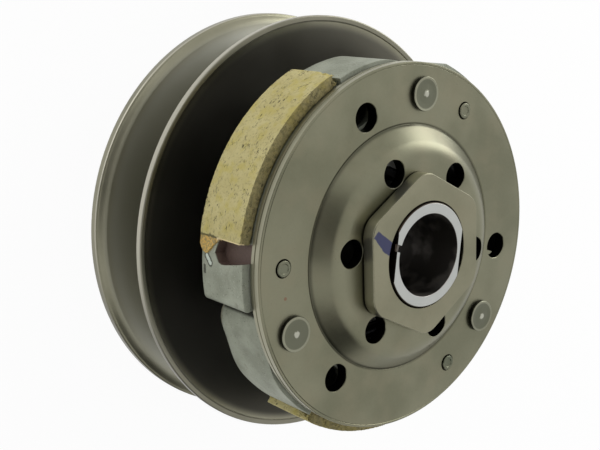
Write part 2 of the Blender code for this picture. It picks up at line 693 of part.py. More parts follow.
def on_dome_line(shift, height):
    """Returns the radius at which the shifted slope of the dome has a height."""
    foot, _, along = dome_line(shift)
    return foot.x + along.x * (height - foot.y) / along.y


def spring_seat_profile():
    """Section of the ring that centres the spring inside the dome."""
    shift = PLATE_THICKNESS + CLEARANCE
    inner = COLLAR_RADIUS + SEAT_GAP
    brim_top = SEAT_HEIGHT + SEAT_BRIM
    brim = on_dome_line(shift, brim_top)
    top = SHOULDER_HEIGHT - 2 * CLEARANCE
    return [
        (inner, SEAT_HEIGHT),
        (brim, SEAT_HEIGHT),
        (brim, brim_top),
        (max(on_dome_line(shift, top), inner + SEAT_TOP_WIDTH), top),
        (inner, top),
    ]


# Bearings

def ball_bearing(materials):
    """Outer race, inner race, and the balls in their cage."""
    high = BALL_BEARING_FRONT
    low = high - BALL_BEARING_WIDTH
    middle = (low + high) / 2
    outer = BEARING_BORE_RADIUS - CLEARANCE
    race = outer - RACE_WALL
    groove = BALL_RADIUS * 0.7
    profile = [(outer, low), (outer, high), (race, high), (race, middle + groove),
               (race + RACE_GROOVE, middle), (race, middle - groove), (race, low)]
    revolve("bearing_outer_race", profile, materials["bearing"])
    race = INNER_RACE_BORE + RACE_WALL
    profile = [(INNER_RACE_BORE, low), (race, low), (race, middle - groove),
               (race - RACE_GROOVE, middle), (race, middle + groove), (race, high), (INNER_RACE_BORE, high)]
    revolve("bearing_inner_race", profile, materials["bearing"])
    pitch = (INNER_RACE_BORE + outer) / 2
    half = BALL_RADIUS * 0.25
    cage_profile = [(pitch - half, middle - 2 * half), (pitch + half, middle - 2 * half),
                    (pitch + half, middle + 2 * half), (pitch - half, middle + 2 * half)]
    cage = revolve("bearing_balls", cage_profile, materials["bearing"], 2 * BALL_COUNT)
    mesh_data = bmesh.new()
    for index in range(BALL_COUNT):
        flat = polar(pitch, math.tau * index / BALL_COUNT)
        place = Matrix.Translation((flat.x, flat.y, middle))
        bmesh.ops.create_icosphere(mesh_data, subdivisions=1, radius=BALL_RADIUS, matrix=place)
    merge(cage, finish("ball_shapes", mesh_data, materials["bearing"]))


def needle_bearing(materials):
    """The drawn shell with its inner lips, and the needles in their cage."""
    low = SLEEVE_BACK + CLEARANCE
    high = low + NEEDLE_LENGTH
    outer = BEARING_BORE_RADIUS - CLEARANCE
    inner = outer - SHELL_WALL
    lip = NEEDLE_BORE_RADIUS + NEEDLE_RADIUS
    wall = SHELL_WALL * 0.8
    profile = [(lip, low), (outer, low), (outer, high), (lip, high), (lip, high - wall),
               (inner, high - wall), (inner, low + wall), (lip, low + wall)]
    revolve("needle_shell", profile, materials["bearing"])
    pitch = NEEDLE_BORE_RADIUS + NEEDLE_RADIUS
    cage_low = low + wall + CLEARANCE
    cage_high = high - wall - CLEARANCE
    half = NEEDLE_RADIUS * 0.35
    cage_profile = [(pitch - half, cage_low), (pitch + half, cage_low),
                    (pitch + half, cage_high), (pitch - half, cage_high)]
    cage = revolve("needle_cage", cage_profile, materials["bearing"], 2 * NEEDLE_COUNT)
    mesh_data = bmesh.new()
    needle_length = cage_high - cage_low - 2 * NEEDLE_RADIUS
    for index in range(NEEDLE_COUNT):
        flat = polar(pitch, math.tau * (index + 0.5) / NEEDLE_COUNT)
        place = Matrix.Translation((flat.x, flat.y, (cage_low + cage_high) / 2))
        bmesh.ops.create_cone(mesh_data, cap_ends=True, segments=6, radius1=NEEDLE_RADIUS,
                              radius2=NEEDLE_RADIUS, depth=needle_length, matrix=place)
    merge(cage, finish("needle_shapes", mesh_data, materials["bearing"]))


def circlip(materials):
    """The open ring that keeps the ball bearing against its shoulder."""
    high = BALL_BEARING_FRONT - BALL_BEARING_WIDTH - 2 * CLEARANCE
    outer = BEARING_BORE_RADIUS + CIRCLIP_GROOVE - CLEARANCE
    outline = open_ring(outer, outer - CIRCLIP_WIDTH, math.radians(34.0), 14)
    extrude("circlip", outline, high - CIRCLIP_THICKNESS, high, materials["spring"])


def open_ring(outer, inner, mouth, steps, centre=(0.0, 0.0), heading=0.0):
    """Returns the outline of a flat ring with a mouth."""
    start = heading + mouth / 2
    end = heading + math.tau - mouth / 2
    return arc(centre, outer, start, end, steps) + arc(centre, inner, end, start, steps)


# Carrier plate, nut, pins and side plate

def carrier_plate(materials):
    """The stamped plate: a flat rim, a dome in the middle and its holes."""
    bore = FLAT_DISTANCE * 0.7
    profile = rounded([
        (bore, SHOULDER_HEIGHT),
        (on_dome_line(PLATE_THICKNESS, SHOULDER_HEIGHT), SHOULDER_HEIGHT),
        (on_dome_line(PLATE_THICKNESS, PLATE_BACK), PLATE_BACK),
        (PLATE_RADIUS, PLATE_BACK),
        (PLATE_RADIUS, PLATE_FRONT, PLATE_EDGE_ROUND),
        (DOME_FOOT_RADIUS, PLATE_FRONT, DOME_FOOT_ROUND),
        (DOME_TOP_RADIUS, PLATE_TOP, DOME_TOP_ROUND),
        (bore, PLATE_TOP),
    ])
    plate = revolve("carrier_plate", profile, materials["plate"], DISC_STEPS)
    low = PLATE_BACK - PLATE_THICKNESS
    high = NUT_TOP
    for index in range(DOME_HOLE_COUNT):
        spot = polar(DOME_HOLE_CIRCLE, HOLE_ANGLE + math.tau * index / DOME_HOLE_COUNT)
        cut(plate, cylinder("dome_hole_cutter_%d" % index, DOME_HOLE_RADIUS, low, high, spot))
    for index in range(SHOE_COUNT):
        turn = index * SHOE_PITCH
        spots = (("rim_hole", RIM_HOLE_CIRCLE, HOLE_ANGLE, RIM_HOLE_RADIUS),
                 ("pivot_hole", PIVOT_CIRCLE, PIVOT_ANGLE, PIVOT_RADIUS + CLEARANCE),
                 ("damper_hole", DAMPER_CIRCLE, PIVOT_ANGLE + DAMPER_ANGLE, DAMPER_PIN_RADIUS + CLEARANCE))
        for word, circle, angle, radius in spots:
            spot = polar(circle, angle + turn)
            cut(plate, cylinder("%s_cutter_%d" % (word, index), radius, low, high, spot))
    cut(plate, flatted_bore("plate_bore_cutter", THREAD_RADIUS + CLEARANCE, low, high))
    return plate


def flatted_bore(name, radius, low, high):
    """A cutter with the sleeve's section: round with two flats."""
    reach = FLAT_DISTANCE + CLEARANCE
    half = math.acos(reach / radius)
    steps = HUB_STEPS // 2 - 3
    outline = arc((0, 0), radius, half, math.pi - half, steps)
    outline += arc((0, 0), radius, math.pi + half, math.tau - half, steps)
    return turned(extrude(name, outline, low, high, None), FLAT_ANGLE)


def clutch_nut(materials):
    """The thin hexagon nut with well-rounded corners."""
    corner = NUT_ACROSS_FLATS / 2 / math.cos(math.pi / 6)
    corners = [(*polar(corner, NUT_ANGLE + math.pi / 6 + math.pi / 3 * side), NUT_CORNER_ROUND)
               for side in range(6)]
    low = PLATE_TOP + CLEARANCE
    nut = extrude("clutch_nut", rounded(corners, 3), low, NUT_TOP, materials["plate"])
    bevel = nut.modifiers.new("edge_bevel", "BEVEL")
    bevel.width = NUT_EDGE_BEVEL
    bevel.segments = 1
    bevel.limit_method = "ANGLE"
    bevel.angle_limit = math.radians(60.0)
    cut(nut, cylinder("nut_bore_cutter", THREAD_RADIUS + CLEARANCE, low - NUT_THICKNESS,
                      NUT_TOP + NUT_THICKNESS, steps=HUB_STEPS))
    return nut


def pivot_pins(materials):
    """The riveted pivot pins, grooved at the back for their clips."""
    groove_low = CLIP_LOW - CLEARANCE
    end = groove_low - PIVOT_TAIL_END
    head_low = PLATE_FRONT + CLEARANCE
    head_high = head_low + PIVOT_HEAD_HEIGHT
    tail = PIVOT_TAIL_RADIUS
    groove = tail - PIVOT_GROOVE_DEPTH
    step_height = SHOE_BACK - CLEARANCE / 2
    profile = [
        (0.0, end), (tail, end),
        (tail, groove_low), (groove, groove_low), (groove, SIDE_PLATE_LOW), (tail, SIDE_PLATE_LOW),
        (tail, step_height), (PIVOT_RADIUS, step_height),
        (PIVOT_RADIUS, head_low), (PIVOT_HEAD_RADIUS, head_low),
        (PIVOT_HEAD_RADIUS, head_high - PIN_EDGE), (PIVOT_HEAD_RADIUS - PIN_EDGE, head_high),
        (0.0, head_high),
    ]
    first = turn_pin("pivot_pin_1", profile, PIVOT_CIRCLE, PIVOT_ANGLE, materials["zinc"])
    repeat(first, "pivot_pin")


def turn_pin(name, profile, circle, angle, material):
    """Turns an open profile that starts and ends on its own axis, and stands it on its circle."""
    mesh_data = bmesh.new()
    chain = [mesh_data.verts.new((point[0], 0.0, point[1])) for point in profile]
    edges = [mesh_data.edges.new(pair) for pair in zip(chain, chain[1:])]
    bmesh.ops.spin(mesh_data, geom=chain + edges, axis=(0, 0, 1), cent=(0, 0, 0), angle=math.tau,
                   steps=PIN_STEPS, use_merge=True)
    bmesh.ops.remove_doubles(mesh_data, verts=mesh_data.verts, dist=1e-7)
    spot = polar(circle, angle)
    bmesh.ops.translate(mesh_data, verts=mesh_data.verts, vec=(spot.x, spot.y, 0))
    return finish(name, mesh_data, material)


def repeat(first, word):
    """Copies the first of a set of pieces round the shaft, one for each shoe."""
    copies = [first]
    for index in range(1, SHOE_COUNT):
        copies.append(turned(first, SHOE_PITCH * index, "%s_%d" % (word, index + 1)))
    return copies


def damper_pins(materials):
    """The small pins near the shoes' free ends and the rubbers on them."""
    low = SHOE_FRONT - DAMPER_LENGTH
    radius = DAMPER_PIN_RADIUS
    high = PLATE_FRONT + DAMPER_PIN_PROUD
    angle = PIVOT_ANGLE + DAMPER_ANGLE
    profile = [(0.0, low), (radius, low), (radius, high - PIN_EDGE), (radius - PIN_EDGE, high), (0.0, high)]
    repeat(turn_pin("damper_pin_1", profile, DAMPER_CIRCLE, angle, materials["plate"]), "damper_pin")
    inner = radius + CLEARANCE
    outer = inner + DAMPER_RUBBER_WALL
    section = [(inner, low), (outer, low), (outer, SHOE_FRONT - CLEARANCE), (inner, SHOE_FRONT - CLEARANCE)]
    rubber = revolve("damper_rubber_1", section, materials["rubber"], PIN_STEPS)
    spot = polar(DAMPER_CIRCLE, angle)
    rubber.data.transform(Matrix.Translation((spot.x, spot.y, 0)))
    repeat(rubber, "damper_rubber")


def side_plate(materials):
    """The ring behind the shoes, with an eye for each pivot pin."""
    inner = SHOE_INNER_RADIUS
    outer = inner + SIDE_PLATE_BAND
    low = SIDE_PLATE_LOW
    high = SIDE_PLATE_HIGH
    past = SIDE_PLATE_THICKNESS  # the cutters run this far past both faces
    plate = revolve("side_plate", [(inner, low), (outer, low), (outer, high), (inner, high)],
                    materials["zinc"], SIDE_PLATE_STEPS)
    hole = PIVOT_TAIL_RADIUS + CLEARANCE
    spots = [polar(PIVOT_CIRCLE, PIVOT_ANGLE + SHOE_PITCH * index) for index in range(SHOE_COUNT)]
    merge(plate, *[cylinder("eye_shape_%d" % index, hole + SIDE_PLATE_EYE_WALL, low, high, spot)
                   for index, spot in enumerate(spots)])
    cut(plate, *[cylinder("eye_cutter_%d" % index, hole, low - past, high + past, spot)
                 for index, spot in enumerate(spots)])
    cut(plate, cylinder("spring_room_cutter", inner, low - past, high + past, steps=SIDE_PLATE_STEPS))
    return plate


def e_clips(materials):
    """The clips in the pivot pins' grooves."""
    spot = polar(PIVOT_CIRCLE, PIVOT_ANGLE)
    outline = open_ring(CLIP_INNER_RADIUS + CLIP_WIDTH, CLIP_INNER_RADIUS, CLIP_MOUTH, 8, spot, PIVOT_ANGLE)
    repeat(extrude("e_clip_1", outline, CLIP_LOW, CLIP_HIGH, materials["spring"]), "e_clip")


# Shoes, linings and shoe springs

def pivot_point(index):
    """Returns the point on a shoe's pivot axis at the plate's back."""
    return (*polar(PIVOT_CIRCLE, PIVOT_ANGLE + SHOE_PITCH * index), PLATE_BACK)


def shoe_outline():
    """Outline of a shoe whose pivot lies at angle 0."""
    pivot = Vector((PIVOT_CIRCLE, 0.0))
    seat_start = LINING_START - CLEARANCE / LINING_RADIUS
    seat_end = LINING_END + CLEARANCE / LINING_RADIUS
    boss_outer = PIVOT_CIRCLE + SHOE_BOSS_RADIUS
    outline = arc(pivot, SHOE_BOSS_RADIUS, math.pi, math.tau, 6)[:-1]
    rise_steps = 4
    for step in range(rise_steps + 1):
        share = step / rise_steps
        swell = math.sin(share * math.pi / 2)
        outline.append(polar(boss_outer + (SHOE_TOE_RADIUS - boss_outer) * swell, TOE_RISE_END * share))
    outline += arc((0, 0), SHOE_TOE_RADIUS, TOE_RISE_END, seat_start, 3)[1:]
    outline += arc((0, 0), SEAT_RADIUS, seat_start, seat_end, LINING_STEPS)
    end_trim = SHOE_END_ROUND / SHOE_HEEL_RADIUS
    outline += arc((0, 0), SHOE_HEEL_RADIUS, seat_end, HEEL_END - end_trim, 3)
    outline.append(polar(SHOE_HEEL_RADIUS - SHOE_END_ROUND * 0.4, HEEL_END - end_trim * 0.25))
    outline.append(polar(SHOE_HEEL_RADIUS - SHOE_END_ROUND, HEEL_END))
    outline.append(polar(SHOE_INNER_RADIUS + SHOE_END_ROUND, HEEL_END))
    inner_start = math.radians(10.0)
    outline += arc((0, 0), SHOE_INNER_RADIUS, HEEL_END - end_trim, inner_start, 9)
    return outline


def spring_ends(index):
    """Returns the two hook points of a shoe spring: in the heel behind and in this shoe's toe."""
    pivot = PIVOT_ANGLE + SHOE_PITCH * index
    heel = polar(SHOE_INNER_RADIUS + HOOK_HEEL_INSET, pivot + HOOK_HEEL_ANGLE)
    toe = polar(SHOE_INNER_RADIUS + HOOK_TOE_INSET, pivot + HOOK_TOE_ANGLE)
    return heel, toe


def spring_cutters(index):
    """The pocket of one shoe spring and the holes for its two hooks."""
    heel, toe = spring_ends(index)
    floor = SHOE_BACK + SPRING_POCKET_DEPTH
    pocket = extrude("spring_pocket_%d" % index, capsule(heel, toe, SPRING_POCKET_HALF_WIDTH, 8),
                     SHOE_BACK - SHOE_GAP, floor, None)
    radius = SHOE_SPRING_WIRE + CLEARANCE
    holes = [cylinder("hook_hole_%d_%d" % (index, number), radius, SHOE_BACK, floor + HOOK_DEPTH + CLEARANCE,
                      spot, 8) for number, spot in enumerate((heel, toe))]
    return [pocket] + holes


def shoe(index, pockets, materials):
    """A cast shoe: pivot boss, lining seat, heel, damper pocket and spring pockets."""
    turn = PIVOT_ANGLE + SHOE_PITCH * index
    name = "shoe_%d" % (index + 1)
    body = turned(extrude(name, shoe_outline(), SHOE_BACK, SHOE_FRONT, materials["shoe"]), turn)
    with_origin(body, pivot_point(index))
    through = SHOE_WIDTH
    bore = cylinder("pivot_bore_%d" % index, PIVOT_RADIUS + CLEARANCE, SHOE_BACK - through,
                    SHOE_FRONT + through, polar(PIVOT_CIRCLE, turn))
    cut(body, bore, damper_pocket(index, turn), recess_cutter(index, turn), toe_pocket(index, turn))
    cut(body, *pockets[index], *pockets[(index + 1) % SHOE_COUNT])
    return body


def damper_pocket(index, turn):
    """The blind slot that the damper rubber sits in, long enough for the shoe's travel."""
    rest = polar(DAMPER_CIRCLE, DAMPER_ANGLE)
    pivot = Vector((PIVOT_CIRCLE, 0.0))
    spoke = rest - pivot
    spoke.rotate(Matrix.Rotation(SHOE_TRAVEL, 2))
    half_width = DAMPER_PIN_RADIUS + DAMPER_RUBBER_WALL + 2 * CLEARANCE
    floor = SHOE_FRONT - DAMPER_LENGTH - CLEARANCE
    outline = capsule(rest, pivot + spoke, half_width)
    return turned(extrude("damper_pocket_%d" % index, outline, floor, PLATE_BACK, None), turn)


def recess_cutter(index, turn):
    """The notch in the heel that shows the end of the lining."""
    outline = sector(SEAT_RADIUS, SHOE_HEEL_RADIUS * 1.1, LINING_END, RECESS_END, 2)
    low = SHOE_FRONT - RECESS_WIDTH
    return turned(extrude("recess_cutter_%d" % index, outline, low, PLATE_BACK, None), turn)


def toe_pocket(index, turn):
    """The deep pocket behind the plate's rim hole, open to the plate."""
    first = polar(POCKET_CIRCLE, POCKET_START + POCKET_HALF_WIDTH / POCKET_CIRCLE)
    second = polar(POCKET_CIRCLE, POCKET_END - POCKET_HALF_WIDTH / POCKET_CIRCLE)
    outline = capsule(first, second, POCKET_HALF_WIDTH)
    low = SHOE_FRONT - POCKET_DEPTH
    return turned(extrude("toe_pocket_%d" % index, outline, low, PLATE_BACK, None), turn)


def sector(inner, outer, start, end, steps):
    """Returns the outline of a ring sector."""
    return arc((0, 0), outer, start, end, steps) + arc((0, 0), inner, end, start, steps)


def lining(materials):
    """The curved friction lining that is bonded to a shoe's seat."""
    inner = LINING_RADIUS - LINING_THICKNESS
    outline = arc((0, 0), inner, LINING_END, LINING_START, LINING_STEPS)
    trim = LINING_BEVEL / LINING_RADIUS
    outline.append(polar(LINING_RADIUS - LINING_BEVEL, LINING_START))
    outline += arc((0, 0), LINING_RADIUS, LINING_START + trim, LINING_END - trim, LINING_STEPS)
    outline.append(polar(LINING_RADIUS - LINING_BEVEL, LINING_END))
    first = extrude("lining_1", outline, LINING_FRONT - LINING_WIDTH, LINING_FRONT, materials["lining"])
    for index, piece in enumerate(repeat(turned(first, PIVOT_ANGLE), "lining")):
        with_origin(piece, pivot_point(index))


def shoe_spring(index, materials):
    """A tension spring from the heel of the shoe behind to this shoe's toe."""
    heel, toe = spring_ends(index)
    floor = SHOE_BACK + SPRING_POCKET_DEPTH
    level = SHOE_BACK + SPRING_POCKET_DEPTH / 2
    start = Vector((heel.x, heel.y, level))
    end = Vector((toe.x, toe.y, level))
    along = (end - start).normalized()
    up = Vector((0, 0, 1))
    side = along.cross(up)
    distance = (end - start).length
    coil_length = distance * SHOE_SPRING_SHARE
    lead_in = (distance - coil_length) / 2
    tip = Vector((0, 0, floor + HOOK_DEPTH - level))
    path = [start + tip, start + up * SHOE_SPRING_WIRE * 2, start + along * SHOE_SPRING_WIRE * 2,
            start + along * (lead_in - SHOE_SPRING_WIRE * 2)]
    count = SHOE_SPRING_TURNS * SHOE_SPRING_STEPS
    for step in range(count + 1):
        angle = math.tau * step / SHOE_SPRING_STEPS
        middle = start + along * (lead_in + coil_length * step / count)
        path.append(middle + (up * math.sin(angle) + side * math.cos(angle)) * SHOE_SPRING_RADIUS)
    path += [end - along * (lead_in - SHOE_SPRING_WIRE * 2), end - along * SHOE_SPRING_WIRE * 2,
             end + up * SHOE_SPRING_WIRE * 2, end + tip]
    return sweep("shoe_spring_%d" % (index + 1), path, SHOE_SPRING_WIRE, 4, materials["spring"])


def main():
    """Builds every piece."""
    for item in list(bpy.data.objects):
        bpy.data.objects.remove(item, do_unlink=True)
    materials = make_materials()
    fixed_face(materials)
    hub_sleeve(materials)
    ball_bearing(materials)
    needle_bearing(materials)
    circlip(materials)
    movable_face(materials)
    movable_hub(materials)
    guides(materials)
    seals(materials)
    collar_and_spring(materials)
    carrier_plate(materials)
    clutch_nut(materials)
    pivot_pins(materials)
    damper_pins(materials)
    side_plate(materials)
    e_clips(materials)
    pockets = [spring_cutters(index) for index in range(SHOE_COUNT)]
    for index in range(SHOE_COUNT):
        shoe(index, pockets, materials)
        shoe_spring(index, materials)
    lining(materials)


main()
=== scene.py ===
"""Looks of the centrifugal clutch with its driven pulley.

The CAD frame is loaded, the pieces that can be seen are modelled again with their fine shapes and finishes,
and each new piece stands for its CAD node. Sizes are in millimetres and angles in degrees, in the frame of
the CAD model: the shaft is the Z axis, z = 0 is the back rim's plane, and the clutch nut is on top.
"""

import json
import logging
import math
from dataclasses import dataclass
from enum import Enum
from typing import Callable, Iterable, Optional, Sequence, Union

import bmesh
import bpy
from mathutils import Matrix, Vector, noise

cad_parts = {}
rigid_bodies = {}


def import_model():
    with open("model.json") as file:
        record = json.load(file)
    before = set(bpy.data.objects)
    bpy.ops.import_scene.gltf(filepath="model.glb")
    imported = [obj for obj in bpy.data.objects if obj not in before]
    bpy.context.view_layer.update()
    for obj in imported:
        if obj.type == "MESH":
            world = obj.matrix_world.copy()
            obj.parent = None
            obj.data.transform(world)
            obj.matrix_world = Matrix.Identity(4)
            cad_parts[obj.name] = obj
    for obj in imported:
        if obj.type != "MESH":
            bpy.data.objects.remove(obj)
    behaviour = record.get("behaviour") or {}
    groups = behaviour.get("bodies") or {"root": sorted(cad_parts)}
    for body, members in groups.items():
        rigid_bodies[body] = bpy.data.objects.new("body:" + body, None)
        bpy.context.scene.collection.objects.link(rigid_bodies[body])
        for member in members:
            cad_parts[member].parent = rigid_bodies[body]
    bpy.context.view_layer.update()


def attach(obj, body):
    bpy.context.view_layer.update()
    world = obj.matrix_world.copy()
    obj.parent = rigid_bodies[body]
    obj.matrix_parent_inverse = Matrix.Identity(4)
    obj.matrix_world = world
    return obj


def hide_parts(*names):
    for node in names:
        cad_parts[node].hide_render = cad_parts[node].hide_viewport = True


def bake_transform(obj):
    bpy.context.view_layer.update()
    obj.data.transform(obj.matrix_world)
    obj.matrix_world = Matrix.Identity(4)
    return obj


MM = 0.001
CLEARANCE = 0.3  # between a piece and its seat
MERGE = 0.002  # points that are closer than this become one
NEAR = 0.004  # points that are closer than this to a ring or a height lie on it
OVER = 2.0  # how far a cutter stands over
WIDE_ROUND = 0.6  # a wider rounding gets a fourth step
SHOE_COUNT = 3
THIRD = 360.0 / SHOE_COUNT  # degrees from one shoe to the next
PIVOT_ANGLE = 100.8
PIVOT_CIRCLE = 41.1
DAMPER_ANGLE = 95.7  # from the shoe's pivot
DAMPER_CIRCLE = 41.5
HEEL_HOOK = (36.0, -22.8)  # radius, and angle from the pivot, of the spring's hook in the shoe behind
TOE_HOOK = (36.8, 23.2)
PLATE_FRONT = 60.3
SHOULDER = 61.65
SHOE_FRONT = 56.55
SHOE_BACK = 39.8
LINING_RADIUS = 51.9
LINING_START = 32.5
LINING_END = 89.2
LOG = logging.getLogger("clutch")

Point = Sequence[float]
Number = Union[float, "Reading"]
Colour = Union[Point, bpy.types.NodeSocket]


def polar(radius: float, angle: float) -> tuple[float, float]:
    """Returns the flat point at a radius and an angle in degrees."""
    return radius * math.cos(math.radians(angle)), radius * math.sin(math.radians(angle))


def arc(centre: Point, radius: float, start: float, end: float, steps: int) -> list[tuple[float, float]]:
    """Returns the points of an arc.

    Args:
        centre: Middle of the arc.
        radius: Radius of the arc.
        start: First angle in degrees.
        end: Last angle in degrees.
        steps: Number of its sides.

    Returns:
        The points from the first angle to the last.
    """
    angles = [start + (end - start) * step / steps for step in range(steps + 1)]
    spokes = [polar(radius, angle) for angle in angles]
    return [(centre[0] + spoke[0], centre[1] + spoke[1]) for spoke in spokes]


def tone(red: float, green: float, blue: float) -> tuple[float, float, float, float]:
    """Returns the linear colour of a screen colour given from 0 to 255."""
    linear = [((part / 255 + 0.055) / 1.055) ** 2.4 if part > 10 else part / 255 / 12.92
              for part in (red, green, blue)]
    return linear[0], linear[1], linear[2], 1.0


def sum_of(operation: str, swapped: bool = False) -> Callable[..., "Reading"]:
    """Makes a method of a reading that works out one sum.

    Args:
        operation: The Math node's operation.
        swapped: Whether the other value comes first.

    Returns:
        The method.
    """
    def method(reading: "Reading", *others: Number) -> "Reading":
        """Adds the Math node."""
        values = (*others, reading) if swapped else (reading, *others)
        return reading.worked(operation, *values)
    return method


class Reading:
    """A number socket of a material that Python's operators act on."""

    def __init__(self, surface: "Surface", socket: bpy.types.NodeSocket) -> None:
        """Keeps the socket and the surface that it belongs to."""
        self.surface = surface
        self.socket = socket

    def worked(self, operation: str, *values: Number) -> "Reading":
        """Adds a Math node with an operation and what its sockets hold."""
        node = self.surface.node("ShaderNodeMath", {"operation": operation}, dict(enumerate(values)))
        return Reading(self.surface, node.outputs[0])

    __add__ = sum_of("ADD")
    __radd__ = sum_of("ADD", swapped=True)
    __sub__ = sum_of("SUBTRACT")
    __rsub__ = sum_of("SUBTRACT", swapped=True)
    __mul__ = sum_of("MULTIPLY")
    __rmul__ = sum_of("MULTIPLY", swapped=True)
    __abs__ = sum_of("ABSOLUTE")
    root = sum_of("SQRT")
    fraction = sum_of("FRACT")
    angle = sum_of("ARCTAN2", swapped=True)
    most = sum_of("MAXIMUM")
    least = sum_of("MINIMUM")

    def rise(self, low: float, high: float) -> "Reading":
        """Returns a smooth step from 0 at one value to 1 at another."""
        node = self.surface.node("ShaderNodeMapRange", {"interpolation_type": "SMOOTHSTEP"},
                                 {"Value": self, "From Min": low, "From Max": high})
        return Reading(self.surface, node.outputs["Result"])


class Surface:
    """A Principled material that is built up from nodes."""

    def __init__(self, name: str) -> None:
        """Starts the material with its shader alone.

        Args:
            name: Name of the material.
        """
        self.material = bpy.data.materials.new(name)
        self.material.use_nodes = True
        self.tree = self.material.node_tree
        self.shader = self.tree.nodes["Principled BSDF"]
        self.colour: Colour = tone(128, 128, 128)
        self.place = self.node("ShaderNodeTexCoord", {}, {}).outputs["Object"]
        parts = self.node("ShaderNodeSeparateXYZ", {}, {0: self.place}).outputs
        self.x, self.y, self.z = (Reading(self, part) * (1 / MM) for part in parts)

    def feed(self, socket: bpy.types.NodeSocket, value: object) -> None:
        """Links a socket, or sets it.

        Args:
            socket: The socket.
            value: A reading or a socket that feeds it, or its plain value.
        """
        source = value.socket if isinstance(value, Reading) else value
        if isinstance(source, bpy.types.NodeSocket):
            self.tree.links.new(source, socket)
        else:
            socket.default_value = source

    def node(self, kind: str, settings: dict, values: dict) -> bpy.types.Node:
        """Adds one node.

        Args:
            kind: The node's type.
            settings: Its properties, which are set first.
            values: What its sockets hold: numbers, colours, sockets or readings.

        Returns:
            The node.
        """
        node = self.tree.nodes.new(kind)
        for word, setting in settings.items():
            setattr(node, word, setting)
        for key, value in values.items():
            self.feed(node.inputs[key], value)
        return node

    def radius(self) -> Reading:
        """Returns the distance from the shaft's axis in millimetres."""
        return (self.x * self.x + self.y * self.y).root()

    def turn(self) -> Reading:
        """Returns the angle round the shaft in radians."""
        return self.x.angle(self.y)

    def away(self, spot: Point) -> Reading:
        """Returns the distance from a point in millimetres."""
        across, along, up = self.x - spot[0], self.y - spot[1], self.z - spot[2]
        return (across * across + along * along + up * up).root()

    def vector(self, x: Number, y: Number, z: Number) -> bpy.types.NodeSocket:
        """Joins three values into a vector."""
        return self.node("ShaderNodeCombineXYZ", {}, {0: x, 1: y, 2: z}).outputs[0]

    def cloud(self, size: float, detail: float = 3.0, where: Optional[bpy.types.NodeSocket] = None,
              roughness: float = 0.5) -> Reading:
        """Adds a noise.

        Args:
            size: Width of its patches in millimetres.
            detail: Number of its finer layers.
            where: Its coordinates in metres, or the object's own.
            roughness: Weight of the finer layers.

        Returns:
            The noise, about 0.5 on average.
        """
        node = self.node("ShaderNodeTexNoise", {}, {"Vector": where or self.place, "Scale": 1 / (size * MM),
                                                    "Detail": detail, "Roughness": roughness})
        return Reading(self, node.outputs[0])

    def grains(self, size: float, where: Optional[bpy.types.NodeSocket] = None) -> Reading:
        """Returns the distance to the nearest of scattered points, in their mean spacing."""
        node = self.node("ShaderNodeTexVoronoi", {}, {"Vector": where or self.place,
                                                      "Scale": 1 / (size * MM)})
        return Reading(self, node.outputs["Distance"])

    def facing_up(self) -> Reading:
        """Returns how far the surface faces along the shaft, from -1 to 1."""
        normal = self.node("ShaderNodeNewGeometry", {}, {}).outputs["Normal"]
        return Reading(self, self.node("ShaderNodeSeparateXYZ", {}, {0: normal}).outputs[2])

    def blend(self, share: Number, first: Colour, second: Colour) -> bpy.types.NodeSocket:
        """Mixes two colours, each a constant or a socket."""
        node = self.node("ShaderNodeMix", {"data_type": "RGBA", "clamp_factor": True},
                         {0: share, 6: first, 7: second})
        return node.outputs[2]

    def coat(self, share: Number, over: Colour) -> None:
        """Lays a colour over the colour so far, by its share."""
        self.colour = self.blend(share, self.colour, over)

    def relief(self, height: Reading, distance: float) -> None:
        """Feeds a height from 0 to 1 to the shader's normal; the distance is in millimetres."""
        node = self.node("ShaderNodeBump", {}, {"Strength": 1.0, "Distance": distance * MM,
                                                "Height": height})
        self.feed(self.shader.inputs["Normal"], node.outputs[0])

    def dress(self, metallic: Number, roughness: Number) -> bpy.types.Material:
        """Feeds the shader with the colour and two values.

        Args:
            metallic: Share of bare metal.
            roughness: The shader's roughness.

        Returns:
            The finished material.
        """
        for word, value in (("Base Color", self.colour), ("Metallic", metallic), ("Roughness", roughness)):
            self.feed(self.shader.inputs[word], value)
        return self.material


